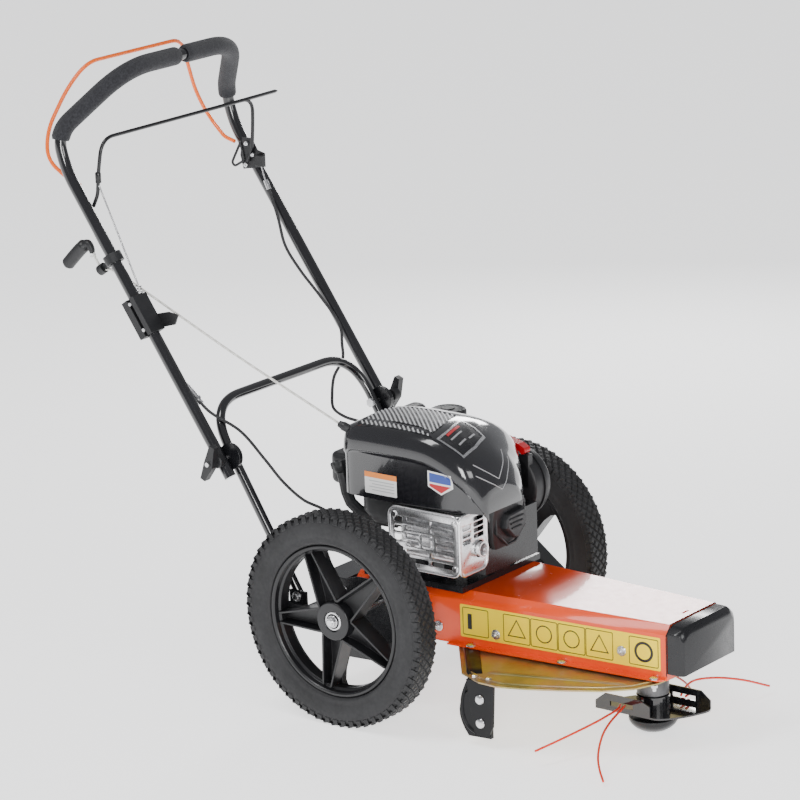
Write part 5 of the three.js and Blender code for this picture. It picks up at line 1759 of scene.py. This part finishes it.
def cable_anchors():
    """What holds each cable and the rope where they start and stop."""
    bm = bmesh.new()
    upper = smooth_path([(196, 470, 748), (197, 480, 768), (199, 488, 788)], 16)
    sweep(bm, upper, 1.4, 10)
    sweep(bm, upper[:7], 4.2, 16)
    finish_piece("drive_cable_end", bm, STEEL, "upper_handle", crease=40)
    clips = bmesh.new()
    brick(clips, -127, -121, 26, 92, 293, 305)
    lathe(clips, [(0, -5), (5, -5), (5, 5), (0, 5)], at(-124, 86, 301), (0.5, 0.6, -0.6), 18)
    brick(clips, 88, 100, 124, 134, 371, 384)
    finish_piece("cable_clips", clips, PLASTIC, crease=40, bevel=0.8)
    ferrule = bmesh.new()
    outlet = smooth_path([(-144, 34, 462), (-149, 46, 468), (-152, 57, 473.4)], 12)
    sweep(ferrule, outlet, [7.5] * 9 + [6.4, 6, 5.6, 5], 24)
    finish_piece("rope_outlet", ferrule, PLASTIC, crease=40)


def bail_linkage():
    """The wire and return spring from the near anchor of the drive bail."""
    bm = bmesh.new()
    top, middle, low = (-200, 507, 834), (-200, 430, 668), (-200, 400, 600)
    sweep(bm, evened([at(*top), at(*middle)], 0.006), 1.5, 10)
    coil_spring(bm, at(*middle), at(*low), 4.6, 0.9, 16)
    sweep(bm, [at(*low), at(-200, 398, 574)], 1.5, 10)
    piece = finish_piece("bail_wire_and_spring", bm, STEEL, None, crease=50)
    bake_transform(piece)


def far_bracket():
    """The moulded switch box by the far handle leg."""
    bm = bmesh.new()
    brick(bm, 194, 204, 482, 498, 786, 806)
    finish_piece("bail_switch_box", bm, PLASTIC, "upper_handle", crease=40, bevel=1.6, segments=3)


cables()
cable_fittings()
cable_anchors()
bail_linkage()
far_bracket()

# ------------------------------------------------------------------ floor, lights and world
FLOOR_HALF = 14.0
FLOOR_GLOW = 1.3


def floor():
    bm = bmesh.new()
    corners = [bm.verts.new((x, y, 0)) for x, y in ((-FLOOR_HALF, -FLOOR_HALF), (FLOOR_HALF, -FLOOR_HALF),
                                                    (FLOOR_HALF, FLOOR_HALF), (-FLOOR_HALF, FLOOR_HALF))]
    bm.faces.new(corners)
    mesh = bpy.data.meshes.new("floor")
    bm.to_mesh(mesh)
    bm.free()
    paper = surface("pale_floor", (0.88, 0.88, 0.885), (0.86, 0.86, 0.865), 0.8, patch=0.4, grain=30,
                    strength=0.02, specular=0.1)
    shader = paper.node_tree.nodes["Principled BSDF"]
    shader.inputs["Emission Color"].default_value = (1, 1, 1, 1)
    shader.inputs["Emission Strength"].default_value = FLOOR_GLOW
    mesh.materials.append(paper)
    piece = bpy.data.objects.new("floor", mesh)
    bpy.context.scene.collection.objects.link(piece)


MIDDLE = (0, 0, 0.35)
# Name, place and target in metres, width, height and power in watts.
SOFTBOXES = (
    ("overhead_softbox", (-1.6, 0.6, 3.6), MIDDLE, 0.8, 2.4, 70),
    ("near_softbox", (-3.2, -2.4, 1.5), MIDDLE, 1.1, 1.3, 84),
    ("front_softbox", (-0.8, -3.6, 1.7), MIDDLE, 1.6, 0.9, 30),
    ("far_softbox", (2.35, 1.02, 1.16), (0, -0.4, 0.2), 0.9, 0.5, 24),
)


def area_light(name, place, target, width, height, power):
    data = bpy.data.lights.new(name, "AREA")
    data.shape = "RECTANGLE"
    data.size = width
    data.size_y = height
    data.energy = power
    lamp = bpy.data.objects.new(name, data)
    bpy.context.scene.collection.objects.link(lamp)
    place, target = Vector(place), Vector(target)
    lamp.location = place
    lamp.rotation_euler = (target - place).to_track_quat("-Z", "Y").to_euler()


def lights():
    for row in SOFTBOXES:
        area_light(*row)
    world = bpy.data.worlds.new("studio")
    bpy.context.scene.world = world
    world.use_nodes = True
    background = world.node_tree.nodes["Background"]
    background.inputs["Color"].default_value = (0.95, 0.96, 1.0, 1)
    background.inputs["Strength"].default_value = 0.38


floor()
lights()
